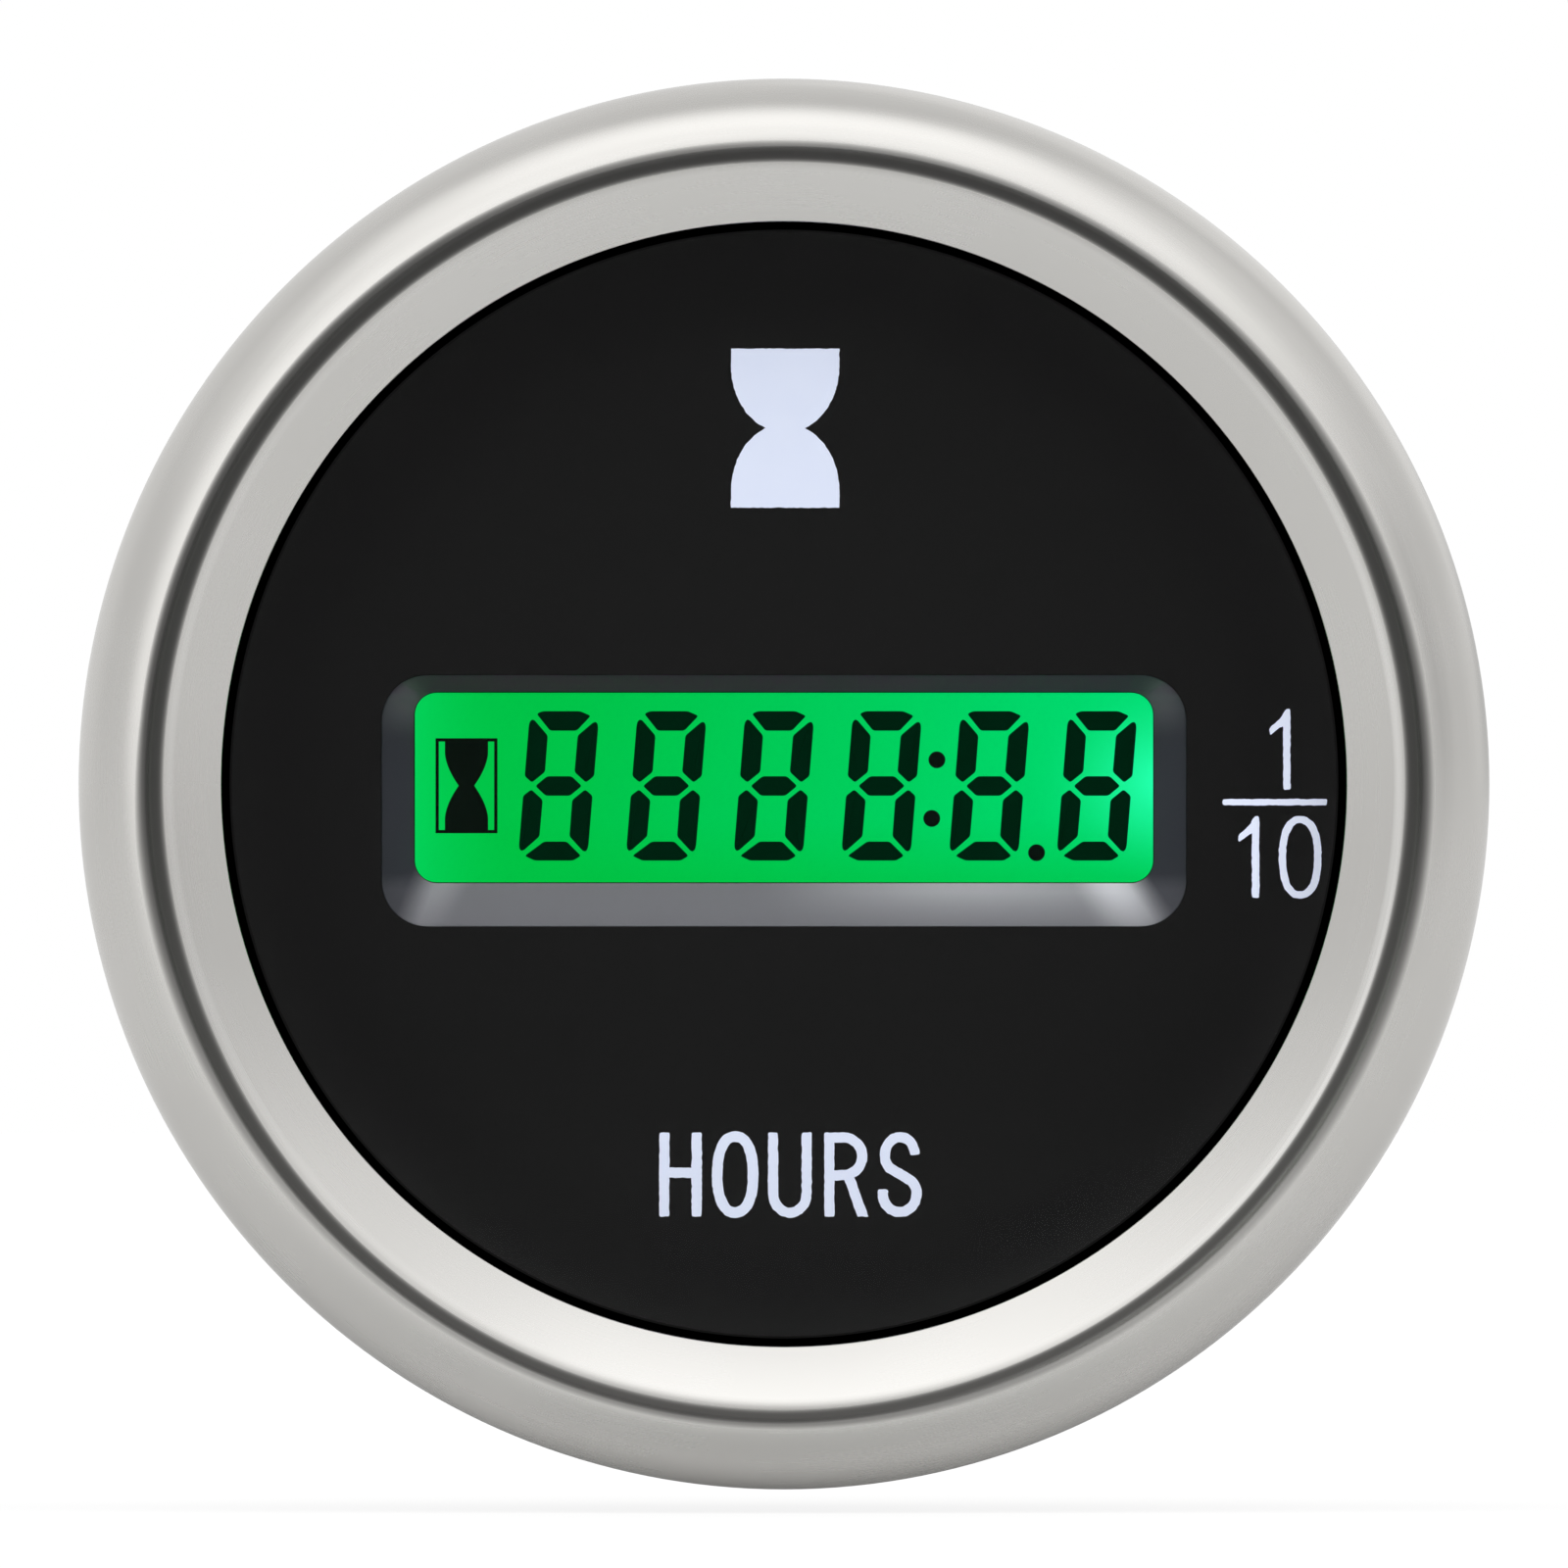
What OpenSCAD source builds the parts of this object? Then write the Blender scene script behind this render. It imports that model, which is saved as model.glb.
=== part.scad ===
// Panel-mounted digital hour meter: a round case behind a 52 mm panel hole, a rolled steel bezel
// in front of the panel, and a U-shaped clamp that two knurled nuts draw against the panel's back.
// The dial faces -Y, up is +Z, and the origin is on the axis, in the plane of the panel's front.

/* [Bezel] */
// Outer diameter of the bezel
bezel_d = 60; // [56:0.5:66]
// Thickness of the bezel's steel sheet
bezel_wall = 0.6; // [0.4:0.1:0.7]
// Radius of the rounded outer shoulder
shoulder_r = 2.3; // [1.8:0.1:2.8]
// Radius of the crest's inner edge
bead_r = 0.8; // [0.75:0.05:1.2]
// Straight height of the step inside the crest
step_h = 0.45; // [0.2:0.05:1.5]
// Radius of the hollow at the foot of the step
step_foot_r = 0.5; // [0.3:0.1:0.9]
// Slope of the inner cone, in degrees
cone_angle = 25; // [10:1:40]
// Width of the bezel's face, from the rim to the opening
face_w = 6.1; // [5.8:0.1:7.5]
// Radius of the crimped rear corner
curl_r = 0.9; // [0.8:0.1:1.2]
// How far the crimped rear lip reaches in from the rim
lip_w = 2.6; // [1.8:0.1:3.2]

/* [Glass and seals] */
// Width of the case's rim around the glass
rim_w = 1.05; // [0.85:0.05:2]
// Thickness of the glass
lens_t = 2; // [1.5:0.1:3]
// Thickness of the seal on the glass
seal_t = 0.5; // [0.3:0.1:1]
// Width of the seal that shows inside the bezel's opening
seal_show = 0.4; // [0.2:0.1:0.8]
// Thickness of the gasket behind the bezel
gasket_t = 1.2; // [0.8:0.1:2]

/* [Case] */
// How far the bezel stands out past the case that goes through the panel
overhang = 4.3; // [4:0.1:4.5]
// Depth of the case behind the panel's front
body_depth = 32; // [30:0.5:40]
// Wall of the case beside the dial
body_wall = 1.3; // [1:0.1:1.4]
// Thickness of the case's rear wall
floor_t = 2; // [1.6:0.1:3]
// Thickness of the flange under the glass
flange_t = 1.2; // [0.8:0.1:2]
// Width of the shelf that carries the display frame
shelf_w = 0.8; // [0.6:0.1:1]
// Radius of the case's rear edge
rear_edge_r = 1.5; // [0.8:0.1:2]

/* [Dial and window] */
// Thickness of the dial plate
dial_t = 0.8; // [0.5:0.1:1.2]
// Space between the glass and the dial
dial_depth = 1.8; // [1.2:0.1:3]
// Width of the display window
window_w = 31.6; // [28:0.1:32]
// Height of the display window
window_h = 8.2; // [7.4:0.1:9]
// Height of the window's centre above the dial's centre
window_y = -0.15; // [-0.6:0.05:0.6]
// Corner radius of the window
window_r = 1; // [0.4:0.1:1.6]
// Width of the sloped border at the window's sides
border_side = 1.35; // [0.8:0.05:1.6]
// Width of the sloped border above the window
border_top = 0.7; // [0.4:0.05:1.6]
// Width of the sloped border below the window
border_bottom = 1.83; // [0.8:0.01:2.2]
// Corner radius of the border's outer edge
border_r = 1.95; // [1.2:0.05:2.4]
// Depth of the sloped border
border_depth = 1.6; // [1:0.1:1.8]
// Thickness of the display frame's plate
frame_t = 3; // [2.6:0.1:4]
// Wall of the display frame's box
frame_wall = 1; // [0.8:0.1:1.4]

/* [Display] */
// Number of digits
digits = 6; // [4:1:6]
// Height of a digit
digit_h = 6.37; // [5.6:0.01:6.8]
// Width of a digit
digit_w = 2.9; // [2.4:0.05:3.2]
// Distance from the window's left end to the first digit's middle
digits_left = 6.24; // [5.9:0.01:6.6]
// Distance from the last digit's middle to the window's right end
digits_right = 2.485; // [2.3:0.005:2.9]
// Lean of the digits, in degrees
digit_lean = 4.7; // [0:0.1:8]
// Width of a digit's segments
segment_w = 0.8; // [0.6:0.05:0.9]
// Gap between a digit's segments
segment_gap = 0.2; // [0.15:0.05:0.3]
// Diameter of the colon's and the point's dots
dot_d = 0.72; // [0.5:0.02:0.9]
// Thickness of the front and rear films
film_t = 0.2; // [0.15:0.05:0.3]
// Thickness of each glass plate of the display
cell_t = 1.1; // [0.7:0.1:1.3]
// Thickness of the light guide
guide_t = 2.2; // [1.8:0.1:3]
// Thickness of the light tray's floor
tray_t = 0.8; // [0.6:0.1:1.2]

/* [Circuit board] */
// Thickness of the circuit board
board_t = 1.6; // [1:0.1:2]
// Diameter of the board screws
board_screw_d = 1.8; // [1.6:0.1:2.2]
// Distance of the board screws from the board's edge
board_screw_in = 2.97; // [2.8:0.01:3.4]
// Distance of the board screws above and below the middle
board_screw_y = 15.5; // [14.8:0.1:16.5]
// Diameter of the smoothing capacitor
capacitor_d = 8; // [6:0.1:9]
// Height of the smoothing capacitor
capacitor_h = 11.5; // [8:0.1:14]

/* [Terminals] */
// Width of a terminal blade
blade_w = 6.3; // [4.8:0.1:6.5]
// Thickness of a terminal blade
blade_t = 0.8; // [0.5:0.1:1]
// Length of a blade outside the terminal block
blade_l = 8; // [7:0.1:10]
// Distance from one blade to the next
blade_pitch = 9; // [8.6:0.1:9.6]
// Distance of the blades from the case's lower edge
blade_in = 11.7; // [11.2:0.1:12.2]
// Height of the terminal block on the case's rear
block_h = 2.5; // [1.5:0.1:4]

/* [Clamp] */
// Thickness of the panel that the clamp is drawn up for
panel_t = 6; // [1:0.1:10]
// Diameter of the studs
stud_d = 4; // [3.8:0.1:4.2]
// Distance between the studs
stud_spacing = 30; // [28:0.5:34]
// Length of the studs outside the case
stud_reach = 23.5; // [23:0.5:26]
// Width of the clamp's strip
bracket_w = 14; // [12:0.5:15]
// Thickness of the clamp's strip
bracket_t = 1.5; // [1.2:0.1:1.6]
// Length of the clamp's legs inside the bend
bracket_leg = 36; // [36:0.5:37]
// Inner radius of the clamp's bends
bracket_bend_r = 2; // [1:0.1:3]
// Diameter of the knurled nuts
nut_d = 11; // [10:0.5:12]
// Height of the knurled nuts
nut_h = 5.5; // [4.5:0.1:5.5]
// Number of ridges around a knurled nut
nut_ridges = 36; // [24:1:44]

/* [Hidden] */
$fn = 96;

// Clearances between pieces
flange_clear = 0.2;
lens_clear = 0.15;
seal_clear = 0.25;
bore_clear = 0.2;
gasket_clear = 0.9;
cell_clear = 0.2;
guide_clear = 0.05;
board_clear = 0.4;
screw_clear = 0.05;
screw_pass = 0.2;
slot_clear = 0.1;
thread_clear = 0.05;
leg_clear = 1.2;
hole_clear = 0.35;

// Radii of the stack behind the bezel
bezel_r = bezel_d / 2;
aperture_r = bezel_r - face_w;
flange_r = bezel_r - bezel_wall - flange_clear;
flange_cut = curl_r - bezel_wall + flange_clear;
lens_r = flange_r - rim_w - lens_clear;
body_r = bezel_r - overhang;
bore_r = body_r - body_wall;
well_r = bore_r - shelf_w;
dial_r = bore_r - bore_clear;
board_r = well_r - board_clear;
board_screw_x = sqrt(pow(board_r - board_screw_in, 2) - pow(board_screw_y, 2));

// Levels along the axis, forward of the panel
z_lip = gasket_t;
z_flange = z_lip + bezel_wall;
z_ledge = z_flange + flange_t;
z_rim = z_ledge + lens_t;
z_seal = z_rim + seal_t;
z_dial = z_ledge - dial_depth;
z_frame = z_dial - dial_t;
z_shelf = z_frame - frame_t;
window_land = 0.3;
z_border = z_frame - border_depth;
z_film = z_border - window_land;
z_glass = z_film - film_t;
z_cell = z_glass - cell_t;
z_rear_film = z_cell - cell_t;
z_guide = z_rear_film - film_t;
z_tray = z_guide - guide_t;
z_board = z_tray - tray_t;
z_parts = z_board - board_t;
z_floor = -body_depth + floor_t;
z_rear = -body_depth;

// Bezel sheet, from the lip on the seal out to the crimp behind the flange
crest_r = bezel_r - shoulder_r;
step_r = crest_r - bead_r;
foot_r = step_r - step_foot_r;
cone_z = z_seal + bezel_wall * cos(cone_angle);
cone_end_r = foot_r + step_foot_r * sin(cone_angle);
cone_end_z = cone_z + (cone_end_r - aperture_r) * tan(cone_angle);
foot_z = cone_end_z + step_foot_r * cos(cone_angle);
bead_z = foot_z + step_h;
crest_z = bead_z + bead_r;
shoulder_z = crest_z - shoulder_r;
curl_z = z_lip + curl_r;

// Display stack behind the window
glass_side = 1.9;
glass_ledge = 2.7;
glass_w = window_w + 2 * glass_side;
glass_h = window_h + 2 * glass_ledge;
contact_w = 1.6;
contact_end = 0.8;
contact_in = 0.1;
contact_gap = 0.3;
contact_l = window_w - 2 * contact_end;
contact_y = glass_h / 2 - contact_w / 2 - contact_in;
cell_h = 2 * (contact_y - contact_w / 2 - contact_gap);
film_side = 0.9;
film_end = 0.6;
film_w = window_w + 2 * film_side;
film_h = window_h + 2 * film_end;
tray_wall = 0.6;
tray_h = cell_h;
guide_h = tray_h - 2 * tray_wall - 2 * guide_clear;
guide_w = window_w;
led_t = 1.2;
led_w = 3.2;
led_h = 1.8;
led_pin_r = 0.25;
led_pin_pitch = 1.8;
led_pin_out = 0.9;
pocket_w = glass_w + 2 * cell_clear;
pocket_h = glass_h + 2 * cell_clear;
segment_t = 0.06;

// Clamp levels
stud_r = stud_d / 2;
stud_x = stud_spacing / 2;
stud_end = z_rear - stud_reach;
stud_head_r = 3.6;
stud_head_t = 2;
stud_tip = 0.6;
pad_r = 5.5;
pad_t = 0.8;
lock_nut_af = 7;
lock_nut_h = 3.2;
leg_x = body_r + leg_clear;
z_foot = -panel_t;
z_base = z_foot - bracket_leg;
z_back = z_base - bracket_t;
washer_r = 3.8;
washer_t = 1;
washer_slit = 0.7;
z_nut = z_back - washer_t;
collar_r = 4;
collar_h = 1.2;
ridge_depth = 0.3;
foot_cut = 1.5;
nut_edge = 0.5;

// Turns the working frame, where z points forward, so that the dial faces -Y
module upright() {
    rotate([90, 0, 0]) children();
}

// Part of a flat ring between two radii, from a start angle over a sweep
module sector(outer, inner, start, sweep) {
    far = 3 * outer;
    intersection() {
        difference() {
            circle(r = outer);
            circle(r = inner);
        }
        polygon([[0, 0],
                 [far * cos(start), far * sin(start)],
                 [far * cos(start + sweep / 2), far * sin(start + sweep / 2)],
                 [far * cos(start + sweep), far * sin(start + sweep)]]);
    }
}

// Ring from a rear level to a front level
module tube(outer, inner, low, high) {
    translate([0, 0, low]) linear_extrude(high - low) difference() {
        circle(r = outer);
        circle(r = inner);
    }
}

// Round bar from a low level to a high level
module bar(radius, low, high) {
    translate([0, 0, low]) cylinder(r = radius, h = high - low);
}

// Block about a middle, from a low level to a high level
module slab(width, height, low, high) {
    translate([-width / 2, -height / 2, low]) cube([width, height, high - low]);
}

// Rectangle with rounded corners about a middle
module rounded(width, height, radius) {
    square([width - 2 * radius, height], center = true);
    square([width, height - 2 * radius], center = true);
    for (side = [-1, 1], end = [-1, 1])
        translate([side * (width / 2 - radius), end * (height / 2 - radius)]) circle(r = radius);
}

// Outline of the border's outer edge, which is also the opening in the dial
border_w = window_w + 2 * border_side;
border_h = window_h + border_top + border_bottom;
border_y = window_y + (border_top - border_bottom) / 2;
module border_outline(grow = 0) {
    translate([0, border_y]) rounded(border_w + 2 * grow, border_h + 2 * grow, border_r + grow);
}

module bezel() {
    slant = [cos(cone_angle), sin(cone_angle)];
    down = [sin(cone_angle), -cos(cone_angle)] * bezel_wall;
    rim = [aperture_r, cone_z];
    cone_end = [cone_end_r, cone_end_z];
    color([0.74, 0.74, 0.73]) upright() rotate_extrude() {
        polygon([rim, rim + down, cone_end + down, cone_end]);
        translate([foot_r, foot_z])
            sector(step_foot_r + bezel_wall, step_foot_r, 270 + cone_angle, 90 - cone_angle);
        translate([step_r, foot_z]) square([bezel_wall, step_h]);
        translate([crest_r, bead_z]) sector(bead_r, bead_r - bezel_wall, 90, 90);
        translate([crest_r, shoulder_z]) sector(shoulder_r, shoulder_r - bezel_wall, 0, 90);
        translate([bezel_r - bezel_wall, curl_z]) square([bezel_wall, shoulder_z - curl_z]);
        translate([bezel_r - curl_r, curl_z]) sector(curl_r, curl_r - bezel_wall, 270, 90);
        translate([bezel_r - lip_w, z_lip]) square([lip_w - curl_r, bezel_wall]);
    }
}

module lens() {
    color([0.85, 0.9, 0.92, 0.25]) upright() bar(lens_r, z_ledge, z_rim);
}

module lens_seal() {
    color([0.02, 0.02, 0.02]) upright() tube(flange_r - seal_clear, aperture_r - seal_show, z_rim, z_seal);
}

module panel_gasket() {
    color([0.05, 0.05, 0.05]) upright() tube(bezel_r - curl_r, body_r + gasket_clear, 0, z_lip);
}

// Place of each terminal blade, from left to right
blade_drop = body_r - blade_in;
function blade_x(place) = (place - 1) * blade_pitch;
block_side = 2;
block_w = 2 * blade_pitch + blade_w + 2 * block_side;
block_d = 7;
barrier_t = 1.2;
barrier_h = 3;

// Deep cup with the terminal block and the pads for the studs on its rear
module housing() {
    color([0.08, 0.08, 0.085]) upright() difference() {
        union() {
            rotate_extrude() difference() {
                union() {
                    translate([0, z_rear]) square([body_r - rear_edge_r, z_flange - z_rear]);
                    translate([0, z_rear + rear_edge_r]) square([body_r, z_flange - z_rear - rear_edge_r]);
                    translate([body_r - rear_edge_r, z_rear + rear_edge_r])
                        sector(rear_edge_r, rear_edge_r / 3, 270, 90);
                }
                translate([0, z_shelf]) square([bore_r, 2 * frame_t + z_rim]);
                translate([0, z_floor]) square([well_r, z_shelf - z_floor + frame_t]);
            }
            for (side = [-1, 1])
                translate([side * stud_x, 0, 0]) bar(pad_r, z_rear - pad_t, z_rear + floor_t / 2);
            translate([0, -blade_drop, 0]) slab(block_w, block_d, z_rear - block_h, z_rear + floor_t / 2);
            for (side = [-1, 1])
                translate([side * blade_pitch / 2, -blade_drop, 0])
                    slab(barrier_t, block_d, z_rear - block_h - barrier_h, z_rear);
        }
        for (side = [-1, 1])
            translate([side * stud_x, 0, 0])
                bar(stud_r + thread_clear, z_rear - 2 * pad_t, z_floor + floor_t);
        for (place = [0, 1, 2])
            translate([blade_x(place), -blade_drop, 0])
                slab(blade_w + 2 * slot_clear, blade_t + 2 * slot_clear, z_rear - 2 * block_h, z_floor + floor_t);
    }
}

// Rim welded to the case's front edge, which carries the glass and which the bezel is crimped around
module case_rim() {
    color([0.08, 0.08, 0.085]) upright() rotate_extrude()
        polygon([[bore_r, z_flange],
                 [flange_r - flange_cut, z_flange],
                 [flange_r, z_flange + flange_cut],
                 [flange_r, z_rim],
                 [flange_r - rim_w, z_rim],
                 [flange_r - rim_w, z_ledge],
                 [bore_r, z_ledge]]);
}

module spacer_ring() {
    color([0.03, 0.03, 0.03]) upright() tube(dial_r, aperture_r - seal_show / 2, z_dial, z_ledge);
}

module dial() {
    color([0.1, 0.1, 0.1]) upright() translate([0, 0, z_frame]) linear_extrude(dial_t) difference() {
        circle(r = dial_r);
        border_outline();
    }
}

module window_frame() {
    post_wall = 1.5;
    post_r = board_screw_d / 2 + post_wall;
    sliver = 0.01;
    color([0.2, 0.2, 0.22]) upright() difference() {
        union() {
            bar(dial_r, z_shelf, z_frame);
            translate([0, window_y, 0])
                slab(pocket_w + 2 * frame_wall, pocket_h + 2 * frame_wall, z_board, z_frame - frame_wall);
            for (side = [-1, 1], end = [-1, 1])
                translate([side * board_screw_x, end * board_screw_y, 0]) bar(post_r, z_board, z_frame - frame_wall);
        }
        hull() {
            translate([0, 0, z_frame]) linear_extrude(sliver, $fn = 32) border_outline();
            translate([0, window_y, z_border]) linear_extrude(sliver, $fn = 32) rounded(window_w, window_h, window_r);
        }
        translate([0, window_y, z_film - frame_wall]) linear_extrude(window_land + frame_wall + sliver)
            rounded(window_w, window_h, window_r);
        translate([0, window_y, 0]) slab(pocket_w, pocket_h, z_board - frame_wall, z_film);
        for (side = [-1, 1], end = [-1, 1])
            translate([side * board_screw_x, end * board_screw_y, 0])
                bar(board_screw_d / 2 + screw_clear, z_board - frame_wall, z_frame - frame_wall);
    }
}

module front_film() {
    color([0.05, 0.8, 0.33]) upright() translate([0, window_y, 0]) slab(film_w, film_h, z_glass, z_film);
}

// Digit outlines about the digit's own middle, leaned to the right
half_w = digit_w / 2;
half_h = digit_h / 2;
function leaned(outline) = [for (p = outline) [p[0] + p[1] * tan(digit_lean), p[1]]];
function flipped(outline, across, along) = [for (p = outline) [p[0] * across, p[1] * along]];
corner_cut = segment_w * 0.3;
cross_bar = [[-half_w + segment_gap / 2 + corner_cut, half_h],
             [half_w - segment_gap / 2 - corner_cut, half_h],
             [half_w - segment_w - segment_gap / 2, half_h - segment_w],
             [-half_w + segment_w + segment_gap / 2, half_h - segment_w]];
side_bar = [[-half_w, half_h - segment_gap - corner_cut],
            [-half_w + corner_cut, half_h - segment_gap - corner_cut / 2],
            [-half_w + segment_w, half_h - segment_w - segment_gap],
            [-half_w + segment_w, segment_w / 2 + segment_gap],
            [-half_w + segment_w * 0.4, segment_gap],
            [-half_w, segment_w * 0.4 + segment_gap / 2]];
middle_bar = [[-half_w + segment_w * 0.6, 0],
              [-half_w + segment_w, segment_w / 2],
              [half_w - segment_w, segment_w / 2],
              [half_w - segment_w * 0.6, 0],
              [half_w - segment_w, -segment_w / 2],
              [-half_w + segment_w, -segment_w / 2]];
digit_rise = 0.075;
digit_y = window_y + digit_rise;
digit_start = digits_left - window_w / 2;
digit_pitch = (window_w - digits_left - digits_right) / (digits - 1);
colon_from_last = 1.49;
colon_x = digit_start + digit_pitch * (digits - 1 - colon_from_last);
colon_gap = 2.5;
colon_fall = 0.15;
point_from_last = 0.56;
point_x = digit_start + digit_pitch * (digits - 1 - point_from_last);
icon_left = 2.3;
icon_x = icon_left - window_w / 2;
icon_w = 2.6;
icon_h = 4;
icon_line = 0.12;
icon_glass_w = 1.8;
icon_neck = 0.64;

// Dark figures that show on the display's face
module lcd_segments() {
    color([0, 0.12, 0.06]) upright() translate([0, 0, z_film]) linear_extrude(segment_t) {
        for (place = [0 : digits - 1]) translate([digit_start + place * digit_pitch, digit_y]) {
            polygon(leaned(cross_bar));
            polygon(leaned(middle_bar));
            polygon(leaned(flipped(cross_bar, 1, -1)));
            for (across = [-1, 1], along = [-1, 1]) polygon(leaned(flipped(side_bar, across, along)));
        }
        for (end = [-1, 1])
            translate([colon_x + end * colon_gap / 2 * tan(digit_lean), digit_y + end * colon_gap / 2 - colon_fall])
                circle(d = dot_d);
        translate([point_x, digit_y - half_h + dot_d / 2]) circle(d = dot_d);
        translate([icon_x, digit_y]) {
            difference() {
                square([icon_w, icon_h], center = true);
                square([icon_w - 2 * icon_line, icon_h - 2 * icon_line], center = true);
            }
            for (end = [-1, 1])
                polygon([[-icon_glass_w / 2, end * icon_h / 2],
                         [icon_glass_w / 2, end * icon_h / 2],
                         [icon_glass_w / 2, end * icon_h / 3],
                         [icon_glass_w / 3, end * icon_h / 8],
                         [icon_neck / 2, 0],
                         [-icon_neck / 2, 0],
                         [-icon_glass_w / 3, end * icon_h / 8],
                         [-icon_glass_w / 2, end * icon_h / 3]]);
        }
    }
}

module front_glass() {
    color([0.7, 0.8, 0.75, 0.5]) upright() translate([0, window_y, 0]) slab(glass_w, glass_h, z_cell, z_glass);
}

module rear_glass() {
    color([0.7, 0.8, 0.75, 0.5]) upright() translate([0, window_y, 0]) slab(glass_w, cell_h, z_rear_film, z_cell);
}

module rear_film() {
    color([0.5, 0.55, 0.5]) upright() translate([0, window_y, 0]) slab(film_w, film_h, z_guide, z_rear_film);
}

module light_guide() {
    color([0.8, 0.95, 0.85, 0.6]) upright() translate([0, window_y, 0]) slab(guide_w, guide_h, z_tray, z_guide);
}

// Room for the lamp at the guide's right end
led_x = guide_w / 2 + guide_clear + led_t / 2;
module light_tray() {
    inner_left = -guide_w / 2 - guide_clear;
    inner_right = led_x + led_t / 2 + guide_clear;
    color([0.92, 0.92, 0.9]) upright() translate([0, window_y, 0]) difference() {
        translate([inner_left - tray_wall, -tray_h / 2, z_board])
            cube([inner_right - inner_left + 2 * tray_wall, tray_h, z_guide - z_board]);
        translate([inner_left, -guide_h / 2 - guide_clear, z_tray])
            cube([inner_right - inner_left, guide_h + 2 * guide_clear, 2 * guide_t]);
        for (end = [-1, 1])
            translate([led_x, end * led_pin_pitch / 2, 0]) bar(led_pin_r + screw_pass, z_board - tray_t, z_tray + tray_t);
    }
}

module backlight_led() {
    color([0.9, 0.95, 0.8]) upright() translate([led_x, window_y, 0]) {
        slab(led_t, led_w, z_tray, z_tray + led_h);
        for (end = [-1, 1])
            translate([0, end * led_pin_pitch / 2, 0]) bar(led_pin_r, z_parts - led_pin_out, z_tray + led_h / 2);
    }
}

module contact_strips() {
    color([0.3, 0.32, 0.35]) upright() for (end = [-1, 1])
        translate([0, window_y + end * contact_y, 0]) slab(contact_l, contact_w, z_board, z_cell);
}

module circuit_board() {
    color([0.05, 0.35, 0.16]) upright() difference() {
        bar(board_r, z_parts, z_board);
        for (side = [-1, 1], end = [-1, 1])
            translate([side * board_screw_x, end * board_screw_y, 0])
                bar(board_screw_d / 2 + screw_pass, z_parts - board_t, z_board + board_t);
        for (end = [-1, 1])
            translate([led_x, window_y + end * led_pin_pitch / 2, 0])
                bar(led_pin_r + screw_pass, z_parts - board_t, z_board + board_t);
    }
}

screw_head_t = 1.3;
screw_hole_end = 0.6;
module board_screws() {
    head_r = board_screw_d;
    bite = z_frame - frame_wall - screw_hole_end;
    color([0.75, 0.75, 0.72]) upright() for (side = [-1, 1], end = [-1, 1])
        translate([side * board_screw_x, end * board_screw_y, 0]) {
            bar(head_r, z_parts - screw_head_t, z_parts);
            bar(board_screw_d / 2, z_parts - screw_head_t / 2, bite);
        }
}

// Sizes and places of the parts on the board
control_w = 10;
control_y = 1;
control_legs = 11;
control_pitch = 0.8;
memory_w = 4.9;
memory_h = 3.9;
memory_legs = 4;
memory_pitch = 1.27;
memory_in = 3.95;
memory_y = 4;
chip_t = 1.4;
chip_leg = 1;
chip_leg_t = 0.15;
chip_stand = 0.1;
crystal_r = 1.9;
crystal_l = 6.4;
crystal_h = 3.4;
crystal_base = 0.4;
crystal_base_t = 0.5;
crystal_y = 12.5;
capacitor_x = 12.5;
capacitor_y = 4;
capacitor_groove = 0.35;
capacitor_groove_z = 1.6;
regulator_w = 6.5;
regulator_h = 6;
regulator_t = 2.3;
regulator_in = 3.45;
regulator_y = 5.5;
regulator_tab_w = 5.2;
regulator_tab_h = 1.4;
regulator_leg_w = 0.8;
regulator_leg_h = 2.4;
regulator_leg_x = 2.3;
regulator_foot_t = 0.5;
foot_bite = 0.1;
leg_bite = 0.2;
diode_w = 4.3;
diode_h = 2.6;
diode_t = 2.2;
diode_x = 12.5;
diode_y = 6;
diode_foot_w = 5.2;
diode_foot_h = 1.5;
diode_foot_t = 0.4;

// Flat chip with a row of bent legs along two or four sides
module chip(width, height, thick, legs, pitch, four_sides) {
    leg_w = pitch * 0.4;
    leg_out = chip_leg;
    leg_t = chip_leg_t;
    stand = chip_stand;
    slab(width, height, z_parts - stand - thick, z_parts - stand);
    for (turn = four_sides ? [0, 90, 180, 270] : [0, 180]) rotate(turn) for (leg = [0 : legs - 1])
        translate([(leg - (legs - 1) / 2) * pitch - leg_w / 2, 0, 0]) {
            translate([0, height / 2 - leg_out / 2, z_parts - stand - thick / 2])
                cube([leg_w, leg_out, leg_t]);
            translate([0, height / 2 + leg_out / 2 - leg_t, z_parts - stand - thick / 2])
                cube([leg_w, leg_t, thick / 2 + stand]);
            translate([0, height / 2 + leg_out / 2 - leg_t, z_parts - leg_t]) cube([leg_w, leg_out / 2, leg_t]);
        }
}

module microcontroller() {
    color([0.06, 0.06, 0.065]) upright() translate([0, control_y, 0])
        chip(control_w, control_w, chip_t, control_legs, control_pitch, true);
}

module memory_chip() {
    color([0.06, 0.06, 0.065]) upright() translate([led_x - memory_in, memory_y, 0])
        chip(memory_w, memory_h, chip_t, memory_legs, memory_pitch, false);
}

// Crystal in a tall can with a flat base
module crystal() {
    color([0.78, 0.78, 0.76]) upright() translate([0, crystal_y, 0]) {
        translate([0, 0, z_parts - crystal_base_t]) linear_extrude(crystal_base_t) {
            square([crystal_l, 2 * (crystal_r + crystal_base)], center = true);
            for (side = [-1, 1]) translate([side * crystal_l / 2, 0]) circle(r = crystal_r + crystal_base);
        }
        translate([0, 0, z_parts - crystal_h]) linear_extrude(crystal_h - crystal_base_t / 2) {
            square([crystal_l, 2 * crystal_r], center = true);
            for (side = [-1, 1]) translate([side * crystal_l / 2, 0]) circle(r = crystal_r);
        }
    }
}

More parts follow.
